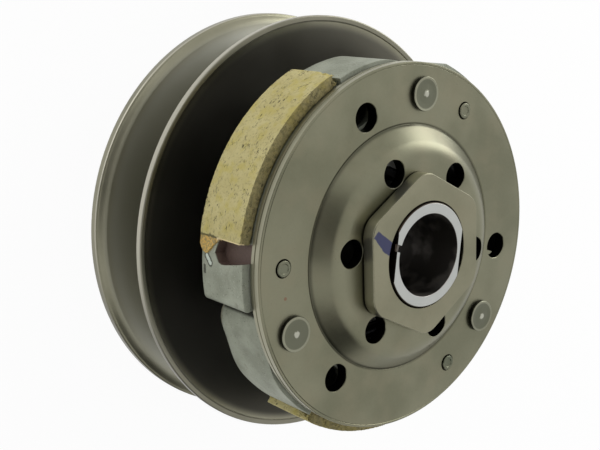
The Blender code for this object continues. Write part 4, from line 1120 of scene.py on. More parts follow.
@dataclass
class Pulley:
    """The fixed face and the movable face of the driven pulley."""

    radius: float = 60.0
    slope: float = math.tan(math.radians(14.0))
    rim: float = 3.2
    wall: float = 2.47
    bore: float = 17.3
    boss_width: float = 8.2
    boss_back: float = 4.3
    dish_edge: float = 53.5
    eased_edge: float = 58.2
    eased_foot: float = 51.5
    face_bore: float = 24.3
    seat: float = 19.7
    movable_rim: float = 23.5
    lip: float = 1.5
    steps: int = 160

    def belt_side(self, radius: float) -> float:
        """Returns the height of the fixed face's cone at a radius."""
        return self.rim + (self.radius - radius) * self.slope

    def movable_side(self, radius: float) -> float:
        """Returns the height of the movable face's belt side at a radius."""
        return self.movable_rim - (self.radius - radius) * self.slope

    def fixed_section(self) -> list[Point]:
        """Draws the fixed face, whose belt side is eased towards the rim.

        Returns:
            The section's corners.
        """
        boss = self.bore + self.boss_width
        foot = self.belt_side(self.bore + 0.8)
        return [
            (self.bore, self.boss_back, 0.3),
            (boss, self.boss_back, 0.3),
            (boss + 1.5, self.belt_side(boss + 1.5) - self.wall, 0.8),
            (self.dish_edge, self.belt_side(self.dish_edge) - self.wall, 1.0),
            (self.dish_edge + 2.0, 0.0, 0.5),
            (self.radius, 0.0, 0.9),
            (self.radius, self.rim - 0.3, 0.4),
            (59.3, self.rim - 0.2, 0.7),
            (self.eased_edge, self.belt_side(self.eased_edge) + 0.26, 3.0),
            (self.eased_foot, self.belt_side(self.eased_foot), 9.0),
            (self.bore + 0.8, foot, 0.3),
            (self.bore, foot - 0.3),
        ]

    def movable_section(self) -> list[Point]:
        """Draws the movable face, with the narrow lip on its rim.

        Returns:
            The section's corners.
        """
        lip = self.radius - self.lip
        lip_top = self.movable_side(lip) + self.wall
        return [
            (self.face_bore, self.seat),
            (self.face_bore, self.movable_side(self.face_bore), 0.3),
            (52.0, self.movable_side(52.0), 2.0),
            (self.radius, self.movable_rim, 0.5),
            (self.radius, lip_top, 0.4),
            (lip, lip_top, 0.25),
            (lip - 0.2, lip_top - 0.25, 0.1),
            (56.0, self.movable_side(56.0) + self.wall - 0.1, 0.5),
            (34.5, self.movable_side(34.5) + self.wall, 0.8),
            (34.0, self.seat, 0.5),
        ]

    def build(self, finishes: Finishes) -> None:
        """Builds both faces.

        Args:
            finishes: The materials.
        """
        fixed = turned_piece("fixed_face_turned", self.fixed_section(), self.steps).shade()
        fixed.stand_for("fixed_pulley_face", "sleeve_and_plate", "pulley_fixed", finishes.fixed)
        movable = turned_piece("movable_face_turned", self.movable_section(), self.steps).shade()
        movable.stand_for("movable_pulley_face", "movable_face", "pulley_movable", finishes.movable)


@dataclass
class HubSleeve:
    """The ground sleeve through the whole part."""

    radius: float = 17.0
    flange: float = 23.0
    thread: float = 13.9
    bore: float = 11.0
    bearing_bore: float = 14.2
    seat_front: float = 31.3
    groove_high: float = 23.7
    groove_low: float = 22.1
    groove_depth: float = 0.8
    end: float = 69.4
    flat: float = 12.1
    flat_angle: float = 12.8
    guide_count: int = 3
    guide_angle: float = 40.8
    guide_height: float = 38.0
    guide_hole: float = 2.7

    def section(self) -> list[Point]:
        """Draws the sleeve with the seat and the circlip groove of its ball bearing.

        Returns:
            The section's corners.
        """
        groove = self.bearing_bore + self.groove_depth
        return [
            (self.bearing_bore, 1.0, 0.5),
            (self.flange, 1.0, 0.4),
            (self.flange, 4.0, 0.3),
            (self.radius, 4.0, 0.3),
            (self.radius, SHOULDER, 0.3),
            (self.thread - 0.3, SHOULDER),
            (self.thread - 0.3, SHOULDER + 0.5),
            (self.thread, SHOULDER + 0.8),
            (self.thread, self.end, 0.45),
            (self.bore, self.end, 0.15),
            (self.bore, self.seat_front),
            (self.bearing_bore, self.seat_front),
            (self.bearing_bore, self.groove_high),
            (groove, self.groove_high),
            (groove, self.groove_low),
            (self.bearing_bore, self.groove_low),
        ]

    def build(self, finishes: Finishes) -> None:
        """Builds the sleeve with its flats, notch and guide pin holes.

        Args:
            finishes: The materials.
        """
        sleeve = turned_piece("hub_sleeve_ground", self.section(), 128)
        for turn in (0.0, 180.0):
            half = self.radius + OVER
            outline = [(self.flat, -half), (self.flat + half, -half), (self.flat + half, half),
                       (self.flat, half)]
            flat = flat_piece("flat", outline, SHOULDER, self.end + OVER)
            sleeve.cut(flat.turn(self.flat_angle + turn))
        notch = [(-10.4, 0.6), (-14.6, 0.8), (-14.6, -1.3), (-10.4, -1.1)]
        sleeve.cut(flat_piece("notch", notch, self.end - 0.9, self.end + OVER))
        for index in range(self.guide_count):
            hole = Piece.primitive(bpy.ops.mesh.primitive_cylinder_add, (self.radius, 0, self.guide_height),
                                   vertices=32, radius=self.guide_hole * MM, depth=10 * MM,
                                   rotation=(0, math.pi / 2, 0))
            sleeve.cut(hole.turn(self.guide_angle + THIRD * index))
        sleeve.shade().stand_for("hub_sleeve", "sleeve_and_plate", "hub_steel", finishes.sleeve)


@dataclass
class CarrierPlate:
    """The dished plate that carries the shoes."""

    radius: float = 49.2
    thickness: float = 3.25
    back: float = PLATE_FRONT - thickness
    dome_top: float = 64.9
    dome_foot: float = 33.2
    dome_edge: float = 27.6
    seam: float = 1.55
    hole_angle: float = 131.0
    dome_hole: float = 3.67
    dome_hole_circle: float = 23.43
    rim_hole: float = 3.7
    rim_hole_circle: float = 38.8
    pivot_hole: float = 4.3
    damper_hole: float = 2.25
    core: float = 9.0
    bore: float = 14.2
    bore_flat: float = 12.27
    bore_angle: float = 12.8

    def inside(self, height: float) -> float:
        """Works out the radius of the dome's hollow side.

        Args:
            height: Height at which it is wanted.

        Returns:
            The radius.
        """
        run = self.dome_foot - self.dome_edge
        rise = self.dome_top - PLATE_FRONT
        slant = math.hypot(run, rise)
        foot = self.dome_foot - self.thickness * rise / slant
        base = PLATE_FRONT - self.thickness * run / slant
        return foot - (height - base) * run / rise

    def section(self) -> list[Point]:
        """Draws the plate with the seam in its edge and the valley round its dome.

        Returns:
            The section's corners.
        """
        seam = self.back + self.seam
        return [
            (self.core, SHOULDER),
            (self.inside(SHOULDER), SHOULDER, 1.0),
            (self.inside(self.back), self.back, 1.5),
            (self.radius, self.back, 0.45),
            (self.radius, seam - 0.22),
            (self.radius - 0.4, seam),
            (self.radius, seam + 0.22),
            (self.radius, PLATE_FRONT, 0.32),
            (self.radius - 0.62, PLATE_FRONT),
            (self.radius - 0.74, PLATE_FRONT - 0.10),
            (self.radius - 0.86, PLATE_FRONT),
            (self.dome_foot + 0.40, PLATE_FRONT, 0.25),
            (self.dome_foot - 0.05, PLATE_FRONT - 0.32, 0.15),
            (self.dome_foot - 0.55, PLATE_FRONT + 0.22, 0.25),
            (self.dome_edge, self.dome_top, 2.3),
            (self.core, self.dome_top),
        ]

    def build(self, finishes: Finishes) -> None:
        """Builds the plate with all its holes.

        Args:
            finishes: The materials.
        """
        plate = turned_piece("carrier_plate_stamped", self.section(), 160)
        low = self.back - OVER
        for index in range(6):
            spot = polar(self.dome_hole_circle, self.hole_angle + 60 * index)
            plate.cut(hole_tool(spot, self.dome_hole, low, self.dome_top, 0.15))
        for index in range(SHOE_COUNT):
            turn = THIRD * index
            holes = ((self.rim_hole_circle, self.hole_angle, self.rim_hole, 0.15, 48),
                     (PIVOT_CIRCLE, PIVOT_ANGLE, self.pivot_hole, 0.1, 48),
                     (DAMPER_CIRCLE, PIVOT_ANGLE + DAMPER_ANGLE, self.damper_hole, 0.2, 32))
            for circle, angle, radius, chamfer, steps in holes:
                plate.cut(hole_tool(polar(circle, angle + turn), radius, low, PLATE_FRONT, chamfer, steps))
        plate.cut(flatted_tool(self.bore, self.bore_flat, self.bore_angle, low, self.dome_top + OVER))
        burr = [(34.2, 5.3), (35.4, 5.5), (37.3, 5.4), (36.6, 4.6), (35.9, 4.3), (35.0, 3.9)]
        plate.join(flat_piece("burr", burr[::-1], PLATE_FRONT - 0.7, PLATE_FRONT - 0.12))
        plate.shade(28.0).stand_for("carrier_plate", "sleeve_and_plate", "plate", finishes.plate)


def flatted_tool(radius: float, flat: float, angle: float, low: float, high: float) -> Piece:
    """Makes a cutter for a round bore with two flats.

    Args:
        radius: Radius of the bore.
        flat: Distance of each flat from the axis.
        angle: Angle of the first flat.
        low: Lower height.
        high: Upper height.

    Returns:
        The tool.
    """
    half = math.degrees(math.acos(flat / radius))
    outline = arc((0, 0), radius, half, 180 - half, 48) + arc((0, 0), radius, 180 + half, 360 - half, 48)
    return flat_piece("flatted_bore", outline, low, high).turn(angle)


@dataclass
class ClutchNut:
    """The wide thin hexagon nut."""

    across_flats: float = 39.0
    corner_round: float = 6.0
    low: float = 65.2
    high: float = 68.9
    angle: float = 22.0
    bore: float = 14.2

    def build(self, finishes: Finishes) -> None:
        """Builds the nut.

        Args:
            finishes: The materials.
        """
        outline = []
        corner = self.across_flats / 2 / math.cos(math.radians(30))
        middle = corner - self.corner_round / math.cos(math.radians(30))
        for side in range(6):
            heading = self.angle + 30 + 60 * side
            outline += arc(polar(middle, heading), self.corner_round, heading - 30, heading + 30, 10)
        nut = flat_piece("clutch_nut_forged", outline, self.low, self.high)
        nut.soften(at_height(self.high), 0.42, 3)
        nut.ease(0.3, self.low)
        nut.cut(hole_tool((0, 0), self.bore, self.low - OVER, self.high, 0.12, 128))
        nut.shade(28.0).stand_for("clutch_nut", "sleeve_and_plate", "nut", finishes.nut)


@dataclass
class Pins:
    """The pivot pins, the damper pins with their rubbers, and the clips behind."""

    radius: float = 4.0
    tail: float = 3.0
    groove: float = 2.1
    head: float = 4.45
    head_height: float = 1.4
    damper_radius: float = 2.1
    damper_length: float = 8.0
    rubber_wall: float = 1.2
    clip_outer: float = 4.8
    clip_inner: float = 2.4
    half_mouth: float = 35.0
    side_low: float = SHOE_BACK - CLEARANCE - 1.5
    clip_high: float = side_low - CLEARANCE
    clip_low: float = clip_high - 0.8

    def pivot_section(self) -> list[Point]:
        """Draws a pivot pin with its clip groove and the hollow in its riveted head.

        Returns:
            The section's corners.
        """
        end = self.clip_low - 1.4
        step = SHOE_BACK - CLEARANCE / 2
        collar = PLATE_FRONT + 0.1
        face = PLATE_FRONT + self.head_height
        return [
            (0.0, end),
            (self.tail, end, 0.3),
            (self.tail, self.clip_low - 0.3),
            (self.groove, self.clip_low - 0.3),
            (self.groove, self.side_low),
            (self.tail, self.side_low),
            (self.tail, step),
            (self.radius, step, 0.3),
            (self.radius, collar),
            (self.head, collar),
            (self.head + 0.1, face - 0.45, 0.12),
            (4.40, face - 0.22, 0.10),
            (4.15, face - 0.28, 0.08),
            (2.6, face - 0.42, 0.3),
            (1.2, face - 0.34, 0.1),
            (0.7, face - 0.20, 0.1),
            (0.0, face - 0.12),
        ]

    def build(self, finishes: Finishes) -> None:
        """Builds the three of each kind.

        Args:
            finishes: The materials.
        """
        pin = turned_piece("pivot_pin_riveted_1", self.pivot_section(), 64, solid_core=True)
        self.deal(pin, "pivot_pin", PIVOT_CIRCLE, PIVOT_ANGLE, "pin", finishes.pin)
        low = SHOE_FRONT - self.damper_length
        top = PLATE_FRONT + 0.5
        profile = [(0.0, low), (self.damper_radius, low, 0.2), (self.damper_radius, top - 0.22, 0.1),
                   (1.85, top, 0.1), (1.35, top - 0.04), (1.15, top - 0.22), (0.0, top - 0.26)]
        pin = turned_piece("damper_pin_turned_1", profile, 40, solid_core=True)
        damper = PIVOT_ANGLE + DAMPER_ANGLE
        self.deal(pin, "damper_pin", DAMPER_CIRCLE, damper, "pin", finishes.damper)
        inner = self.damper_radius + CLEARANCE
        high = SHOE_FRONT - CLEARANCE
        outer = inner + self.rubber_wall
        profile = [(inner, low, 0.3), (outer, low, 0.3), (outer, high, 0.3), (inner, high, 0.3)]
        rubber = turned_piece("damper_rubber_moulded_1", profile, 40)
        self.deal(rubber, "damper_rubber", DAMPER_CIRCLE, damper, "seal_rubber", finishes.rubber)
        mouth = (self.half_mouth, 360 - self.half_mouth)
        outline = arc((0, 0), self.clip_outer, *mouth, 28) + arc((0, 0), self.clip_inner, *mouth[::-1], 20)
        clip = flat_piece("e_clip_stamped_1", outline, self.clip_low, self.clip_high)
        clip.ease(0.12, self.clip_high, self.clip_low)
        self.deal(clip, "e_clip", PIVOT_CIRCLE, PIVOT_ANGLE, "zinc", finishes.zinc)

    def deal(self, piece: Piece, node: str, circle: float, angle: float, slot: str,
             material: bpy.types.Material) -> None:
        """Moves a piece from the axis to its place and copies it for each shoe.

        Args:
            piece: The first of the three.
            node: Name of the CAD nodes, without their number.
            circle: Radius of the circle that they stand on.
            angle: Angle of the first.
            slot: The record's slot.
            material: Their material.
        """
        piece.edit()
        bpy.ops.mesh.select_all(action="SELECT")
        bpy.ops.transform.translate(value=(circle * MM, 0, 0))
        for index, copy in enumerate(piece.turn(angle).shade().dealt()):
            copy.stand_for("%s_%d" % (node, index + 1), "sleeve_and_plate", slot, material)


@dataclass
class SidePlate:
    """The ring with three eyes behind the shoes."""

    inner: float = 33.7
    outer: float = 36.9
    low: float = 38.0
    high: float = 39.5
    eye: float = 6.0
    hole: float = 3.3

    def build(self, finishes: Finishes) -> None:
        """Builds the plate.

        Args:
            finishes: The materials.
        """
        profile = [(self.inner, self.low, 0.2), (self.outer, self.low, 0.2), (self.outer, self.high, 0.2),
                   (self.inner, self.high, 0.2)]
        plate = turned_piece("side_plate_stamped", profile, 120)
        spots = [polar(PIVOT_CIRCLE, PIVOT_ANGLE + THIRD * index) for index in range(SHOE_COUNT)]
        for spot in spots:
            eye = flat_piece("eye", arc(spot, self.eye, 0, 350, 35), self.low, self.high)
            eye.ease(0.2, self.high, self.low)
            plate.join(eye)
        for spot in spots:
            plate.cut(hole_tool(spot, self.hole, self.low - OVER, self.high, 0.15, 32))
        plate.cut(hole_tool((0, 0), self.inner, self.low - OVER, self.high, 0.1, 120))
        plate.shade().stand_for("side_plate", "sleeve_and_plate", "zinc", finishes.zinc)


@dataclass
class Shoes:
    """The three cast shoes."""

    inner: float = 33.7
    toe: float = 50.1
    heel: float = 51.1
    seat: float = 48.1
    boss: float = 7.2
    end_round: float = 1.5
    rise_end: float = 17.0
    end: float = 108.2
    swing: float = 3.5
    damper_slot: float = 3.9
    damper_depth: float = 8.3
    window: float = 4.8
    window_depth: float = 7.8
    spring_slot: float = 2.6
    spring_depth: float = 5.7
    pivot_hole: float = 4.3
    window_circle: float = 40.6
    window_start: float = 28.8
    window_end: float = 32.2
    hook_hole: float = 0.8
    coil_slot: float = 2.12

    def outline(self) -> list[tuple[float, float]]:
        """Draws a shoe whose pivot lies at angle 0.

        Returns:
            The outline's points.
        """
        pivot = (PIVOT_CIRCLE, 0.0)
        start = LINING_START - math.degrees(CLEARANCE / LINING_RADIUS)
        stop = LINING_END + math.degrees(CLEARANCE / LINING_RADIUS)
        boss = PIVOT_CIRCLE + self.boss
        points = arc(pivot, self.boss, 180, 360, 24)[:-1]
        for step in range(11):
            swell = (1 - math.cos(step / 10 * math.pi)) / 2
            points.append(polar(boss + (self.toe - boss) * swell, self.rise_end * step / 10))
        points += arc((0, 0), self.toe, self.rise_end, start, 10)[1:]
        points += arc((0, 0), self.seat, start, stop, 36)
        trim = math.degrees(self.end_round / self.heel)
        points += arc((0, 0), self.heel, stop, self.end - trim, 12)
        corner = polar(self.heel - self.end_round, self.end - trim)
        points += arc(corner, self.end_round, self.end - trim + 12, self.end + 72, 6)
        points += [polar(self.heel - 2.4, self.end), polar(self.inner + self.end_round, self.end)]
        points += arc((0, 0), self.inner, self.end - trim, 10.0, 40)
        return points

    def recess(self) -> Piece:
        """Makes the cutter for the hollow with rounded corners below the lining's end.

        Returns:
            The tool.
        """
        middle = 92.6
        corners = [(88.9, 46.9), (88.9, 59.0), (92.6, 59.0), (93.8, 57.6), (94.8, 54.0), (95.9, 49.3),
                   (96.0, 48.1), (95.6, 47.0), (93.2, 45.4), (91.0, 46.2)]
        outline = [((angle - middle) * math.radians(self.heel), height) for angle, height in corners]
        return radial_piece("recess", outline, middle, self.seat, self.heel + 3)

    def swung(self, pivot: Vector) -> Vector:
        """Works out where the spring's far hook lies in this shoe's own frame when all shoes are out.

        Args:
            pivot: The shoe's pivot point.

        Returns:
            The place in millimetres.
        """
        place = Vector(polar(*HEEL_HOOK))
        behind = Vector(polar(PIVOT_CIRCLE, -THIRD))
        for centre, turn in ((behind, -self.swing), (pivot, self.swing)):
            place = centre + Matrix.Rotation(math.radians(turn), 2) @ (place - centre)
        return place

    def build(self, finishes: Finishes) -> None:
        """Builds one shoe and copies it.

        Args:
            finishes: The materials.
        """
        top = SHOE_FRONT + OVER
        bottom = SHOE_BACK - OVER
        shoe = flat_piece("shoe_cast_1", self.outline(), SHOE_BACK, SHOE_FRONT)
        shoe.ease(0.25, SHOE_FRONT)
        shoe.ease(0.6, SHOE_BACK)
        rest = polar(DAMPER_CIRCLE, DAMPER_ANGLE)
        pivot = Vector((PIVOT_CIRCLE, 0.0))
        spoke = Vector(rest) - pivot
        spoke.rotate(Matrix.Rotation(math.radians(self.swing), 2))
        window = [polar(self.window_circle, angle) for angle in (self.window_start, self.window_end)]
        shoe.cut(hole_tool(pivot, self.pivot_hole, bottom, SHOE_FRONT, 0.4),
                 slot_tool(rest, pivot + spoke, self.damper_slot, SHOE_FRONT - self.damper_depth, top),
                 slot_tool(*window, self.window, SHOE_FRONT - self.window_depth, top))
        shoe.cut(self.recess())
        for turn in (0.0, THIRD):
            hooks = [polar(radius, angle + turn) for radius, angle in (HEEL_HOOK, TOE_HOOK)]
            shoe.cut(slot_tool(*hooks, self.spring_slot, bottom, SHOE_BACK + self.spring_depth))
            for spot in hooks:
                shoe.cut(hole_tool(spot, self.hook_hole, SHOE_BACK + 4.0, SHOE_BACK + 8.5, 0.0, 16))
        shoe.cut(slot_tool(self.swung(pivot), polar(*TOE_HOOK), self.coil_slot, bottom,
                           SHOE_BACK + self.spring_depth - 0.05))
        for index, copy in enumerate(shoe.shade(35.0).turn(PIVOT_ANGLE).dealt()):
            copy.stand_for("shoe_%d" % (index + 1), "shoe_arm_%d" % (index + 1), "shoe", finishes.shoe)


@dataclass
class Linings:
    """The three bonded friction linings, with ragged ends and a run of glue on the first."""

    thickness: float = 3.5
    front: float = 55.85
    width: float = 16.4
    voxel: float = 0.30
    smooth_angle: float = 60.0
    end_reach: float = 2.2
    top_reach: float = 3.0
    flank_reach: float = 0.8
    corner_reach: float = 6.0

    def build(self, finishes: Finishes) -> None:
        """Builds the linings one by one, because each is broken in its own way.

        Args:
            finishes: The materials.
        """
        for index in range(SHOE_COUNT):
            inner = LINING_RADIUS - self.thickness
            outline = arc((0, 0), inner, LINING_END, LINING_START, 40)
            outline += arc((0, 0), LINING_RADIUS, LINING_START, LINING_END, 40)
            low = self.front - self.width
            lining = flat_piece("lining_bonded_%d" % (index + 1), outline, low, self.front)
            if index == 0:
                lining.join(self.glue())
            lining.apply("REMESH", mode="VOXEL", voxel_size=self.voxel * MM)
            lining.turn(PIVOT_ANGLE + THIRD * index)
            self.weather(lining, index)
            lining.close()
            bpy.ops.object.shade_smooth_by_angle(angle=math.radians(self.smooth_angle))
            lining.stand_for("lining_%d" % (index + 1), "shoe_arm_%d" % (index + 1), "lining",
                             finishes.lining)

    def glue(self) -> Piece:
        """Makes the run of glue below the lining's rear corner.

        Returns:
            The piece that is joined to the first lining.
        """
        middle = 91.0
        corners = [(88.4, 39.5), (91.7, 39.6), (93.6, 40.7), (94.2, 42.3), (92.9, 43.9), (91.3, 45.0),
                   (90.1, 46.6), (88.4, 47.4)]
        outline = [((angle - middle) * math.radians(LINING_RADIUS), height) for angle, height in corners]
        return radial_piece("glue", outline, middle, LINING_RADIUS - 2.0, LINING_RADIUS - 0.25)

    def weather(self, lining: Piece, index: int) -> None:
        """Moves the skin in and out with noise, most of all at the broken ends.

        Args:
            lining: The piece.
            index: Number of its shoe, which also shifts the noise.
        """
        shift = Vector((index * 40.0, 0.0, 0.0))
        base = PIVOT_ANGLE + THIRD * index
        mesh = lining.solid.data
        moved = []
        for point, normal in [(corner.co.copy(), corner.normal.copy()) for corner in mesh.vertices]:
            place = point / MM
            angle = (math.degrees(math.atan2(place.y, place.x)) - base) % 360
            to_start = abs(angle - LINING_START)
            to_front = abs(place.z - self.front)
            end = max(0.0, 1.0 - min(to_start, abs(angle - LINING_END)) / self.end_reach)
            top = max(0.0, 1.0 - to_start / self.top_reach)
            flank = max(0.0, 1.0 - to_front / self.flank_reach)
            corner = top * max(0.0, 1.0 - to_front / self.corner_reach)
            coarse = noise.noise(place * 0.55 + shift)
            fine = noise.noise(place * 1.9 + shift)
            depth = 0.05 * fine + 0.04 * coarse - 0.20 * end * abs(coarse) - 0.16 * flank * abs(fine) - 0.09
            depth -= corner * (0.4 + 1.8 * abs(coarse) + 0.5 * abs(fine))
            moved.extend(point + normal * (depth * MM))
        mesh.vertices.foreach_set("co", moved)
        mesh.update()


@dataclass
class Springs:
    """The main spring and the three shoe springs."""

    radius: float = 28.5
    wire: float = 1.9
    turns: float = 4.5
    steps: int = 36
    low: float = 23.6
    high: float = 54.8
    hook_height: float = 2.85
    hook: float = 5.2
    coil_radius: float = 1.6
    coil_wire: float = 0.45
    coil_turns: int = 12
    coil_steps: int = 14
    coil_share: float = 0.56

    def main_path(self) -> list[Point]:
        """Draws the middle of the main spring's wire, with a closed turn at each end.

        Returns:
            The points of the path.
        """
        dead = 2 * self.wire + CLEARANCE
        path = []
        count = round(self.turns * self.steps)
        for step in range(count + 1):
            turn = self.turns * step / count
            if turn < 1.0:
                height = self.low + dead * turn
            elif turn > self.turns - 1.0:
                height = self.high - dead * (self.turns - turn)
            else:
                share = (turn - 1.0) / (self.turns - 2.0)
                height = self.low + dead + (self.high - self.low - 2 * dead) * share
            path.append((*polar(self.radius, 360 * turn), height))
        return path

    def build(self, finishes: Finishes) -> None:
        """Builds the springs.

        Args:
            finishes: The materials.
        """
        spring = wire_piece("main_spring_coiled", self.main_path(), self.wire, 4)
        solid = spring.stand_for("main_spring", "", "spring_steel", finishes.spring)
        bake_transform(solid)
        for index in range(SHOE_COUNT):
            self.shoe_spring(index, finishes)

    def shoe_spring(self, index: int, finishes: Finishes) -> None:
        """Builds the tension spring from the heel of the shoe behind to one shoe's toe, in two pieces.

        Args:
            index: Number of the shoe.
            finishes: The materials.
        """
        base = PIVOT_ANGLE + THIRD * index
        level = SHOE_BACK + self.hook_height
        start = Vector((*polar(HEEL_HOOK[0], base + HEEL_HOOK[1]), level))
        end = Vector((*polar(TOE_HOOK[0], base + TOE_HOOK[1]), level))
        distance = (end - start).length
        along = (end - start).normalized()
        up = Vector((0, 0, 1))
        side = along.cross(up)
        coil = distance * self.coil_share
        lead = (distance - coil) / 2
        tip = up * self.hook
        path = [start + tip, start + up * 1.0, start + up * 0.35 + along * 0.3, start + along * 1.0]
        path.append(start + along * (lead - 1.0))
        count = self.coil_turns * self.coil_steps
        for step in range(count + 1):
            angle = math.tau * step / self.coil_steps
            ring = up * math.sin(angle) + side * math.cos(angle)
            path.append(start + along * (lead + coil * step / count) + ring * self.coil_radius)
        seam = end - along * (lead - 1.5)
        path += [end - along * (lead - 1.0), seam]
        hook = [seam - along * 0.3, end - along * 1.0, end + up * 0.35 - along * 0.3, end + up * 1.0,
                end + tip]
        node = "shoe_spring_%d" % (index + 1)
        spring = wire_piece("shoe_spring_coiled_%d" % (index + 1), path, self.coil_wire, 1)
        solid = spring.stand_for(node, "", "spring_steel", finishes.zinc)
        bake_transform(solid)
        spring = wire_piece("shoe_spring_hook_%d" % (index + 1), hook, self.coil_wire, 1)
        solid = spring.stand_for(node, "", "spring_steel", finishes.zinc)
        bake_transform(solid)


@dataclass
class TorqueCam:
    """The collar, the spring seat and the small pieces inside the movable face's hub."""

    low: float = 20.0
    top: float = 47.5
    bore: float = 24.3
    flange: float = 33.0
    seat_bore: float = 26.2
    seat_radius: float = 31.6
    seat_low: float = 57.0
    seat_high: float = 61.05

    def build(self, finishes: Finishes) -> None:
        """Builds the collar and the seat, and dresses the hidden pieces.

        Args:
            finishes: The materials.
        """
        step = self.low + 1.4
        profile = [(self.bore, self.low, 0.3), (self.flange, self.low, 0.3), (self.flange, step, 0.4),
                   (self.bore + 1.4, step, 0.5), (self.bore + 1.0, self.top, 0.4),
                   (self.bore, self.top, 0.3)]
        collar = turned_piece("spring_collar_drawn", profile, 112).shade()
        collar.stand_for("spring_collar", "collar", "zinc", finishes.collar)
        profile = [(self.seat_bore, self.seat_low, 0.3), (self.seat_radius, self.seat_low, 0.3),
                   (self.seat_radius, self.seat_low + 1.2, 0.3),
                   (self.seat_bore + 1.0, self.seat_high, 0.3), (self.seat_bore, self.seat_high, 0.2)]
        seat = turned_piece("spring_seat_moulded", profile, 96).shade()
        seat.stand_for("spring_seat", "sleeve_and_plate", "polymer", finishes.nylon)
        for word, material in (("movable_hub", finishes.hub), ("guide_pin", finishes.bearing),
                               ("guide_roller", finishes.bearing), ("o_ring", finishes.rubber),
                               ("oil_seal", finishes.rubber)):
            for name, node in bpy.data.objects.items():
                if name.startswith(word) and node.type == "MESH":
                    repaint(node, material)


def repaint(solid: bpy.types.Object, material: bpy.types.Material) -> None:
    """Gives a CAD node a finished material.

    Args:
        solid: The node.
        material: The material for all its slots.
    """
    for slot in solid.material_slots:
        slot.material = material
    LOG.info("%s: keeps its CAD shape", solid.name)


@dataclass
class Bearings:
    """The ball bearing, its circlip and the needle bearing in the hub sleeve."""

    bore: float = 14.2
    front: float = 31.0
    width: float = 7.0
    inner_bore: float = 7.5
    race_wall: float = 1.8
    ball: float = 1.68
    ball_count: int = 7
    clip_low: float = 22.4
    clip_high: float = 23.4
    clip_width: float = 1.8
    half_gap: float = 17.0
    needle_low: float = 1.3
    needle_high: float = 19.3
    needle_circle: float = 11.2
    needle: float = 0.99
    needle_count: int = 10

    def build(self, finishes: Finishes) -> None:
        """Builds the races, the balls and cage, the circlip, and the needle bearing.

        Args:
            finishes: The materials.
        """
        high = self.front
        low = high - self.width
        middle = (low + high) / 2
        outer = self.bore - CLEARANCE
        race = outer - self.race_wall
        profile = [(outer, low, 0.4), (outer, high, 0.4), (race, high, 0.15), (race, middle + 1.2),
                   (race + 0.5, middle + 0.7), (race + 0.7, middle), (race + 0.5, middle - 0.7),
                   (race, middle - 1.2), (race, low, 0.15)]
        ring = turned_piece("outer_race_ground", profile, 96).shade(25.0)
        ring.stand_for("bearing_outer_race", "sleeve_and_plate", "bearing_steel", finishes.bearing)
        race = self.inner_bore + self.race_wall
        profile = [(self.inner_bore, low, 0.4), (race, low, 0.15), (race, middle - 1.2),
                   (race - 0.5, middle - 0.7), (race - 0.7, middle), (race - 0.5, middle + 0.7),
                   (race, middle + 1.2), (race, high, 0.15), (self.inner_bore, high, 0.4)]
        ring = turned_piece("inner_race_ground", profile, 96).shade(25.0)
        ring.stand_for("bearing_inner_race", "inner_race", "bearing_steel", finishes.bearing)
        pitch = (self.inner_bore + outer) / 2
        profile = [(pitch - 0.45, middle - 1.0, 0.2), (pitch + 0.45, middle - 1.0, 0.2),
                   (pitch + 0.45, middle + 1.0, 0.2), (pitch - 0.45, middle + 1.0, 0.2)]
        cage = turned_piece("balls_in_cage", profile, 84)
        for index in range(self.ball_count):
            spot = (*polar(pitch, 360 * index / self.ball_count), middle)
            cage.join(Piece.primitive(bpy.ops.mesh.primitive_uv_sphere_add, spot, segments=24,
                                      ring_count=16, radius=self.ball * MM))
        cage.shade().stand_for("bearing_balls", "ball_cage", "bearing_steel", finishes.bearing)
        outer = self.bore + 0.5
        gap = (self.half_gap, 360 - self.half_gap)
        outline = arc((0, 0), outer, *gap, 80) + arc((0, 0), outer - self.clip_width, *gap[::-1], 80)
        clip = flat_piece("circlip_stamped", outline, self.clip_low, self.clip_high)
        clip.ease(0.12, self.clip_high, self.clip_low)
        clip.shade().stand_for("circlip", "sleeve_and_plate", "spring_steel", finishes.spring)
        self.needles(finishes)

    def needles(self, finishes: Finishes) -> None:
        """Builds the drawn shell and the needles in their cage.

        Args:
            finishes: The materials.
        """
        outer = self.bore - CLEARANCE
        inner = self.needle_circle
        low = self.needle_low
        high = self.needle_high
        profile = [(inner, low, 0.2), (outer, low, 0.6), (outer, high, 0.6), (inner, high, 0.2),
                   (inner, high - 1.04), (outer - 1.3, high - 1.04), (outer - 1.3, low + 1.04),
                   (inner, low + 1.04)]
        shell = turned_piece("needle_shell_drawn", profile, 96).shade()
        shell.stand_for("needle_shell", "sleeve_and_plate", "bearing_steel", finishes.bearing)
        cage_low = low + 1.34
        cage_high = high - 1.34
        profile = [(inner - 0.3, cage_low, 0.1), (inner + 0.3, cage_low, 0.1), (inner + 0.3, cage_high, 0.1),
                   (inner - 0.3, cage_high, 0.1)]
        cage = turned_piece("needles_in_cage", profile, 80)
        length = cage_high - cage_low - 2.0
        for index in range(self.needle_count):
            spot = (*polar(inner, 360 / self.needle_count * (index + 0.5)), (low + high) / 2)
            cage.join(Piece.primitive(bpy.ops.mesh.primitive_cylinder_add, spot, vertices=20,
                                      radius=self.needle * MM, depth=length * MM))
        cage.shade().stand_for("needle_cage", "needles", "bearing_steel", finishes.bearing)


class Lamp(Enum):
    """The soft lamps of the studio, as place and width in metres and power in watts."""

    HIGH = ((0.44, 0.50, 0.26), 0.36, 1.8)
    LEFT = ((-0.70, 0.25, 0.25), 0.60, 1.5)


class Card(Enum):
    """The grey cards that keep some slopes from glaring, as direction, distance, width and grey."""

    CAMERA = ((-0.72, 0.0, 0.69), 0.50, 0.42, 120)
    FRONT = ((0.05, -0.90, 0.40), 0.50, 0.38, 66)


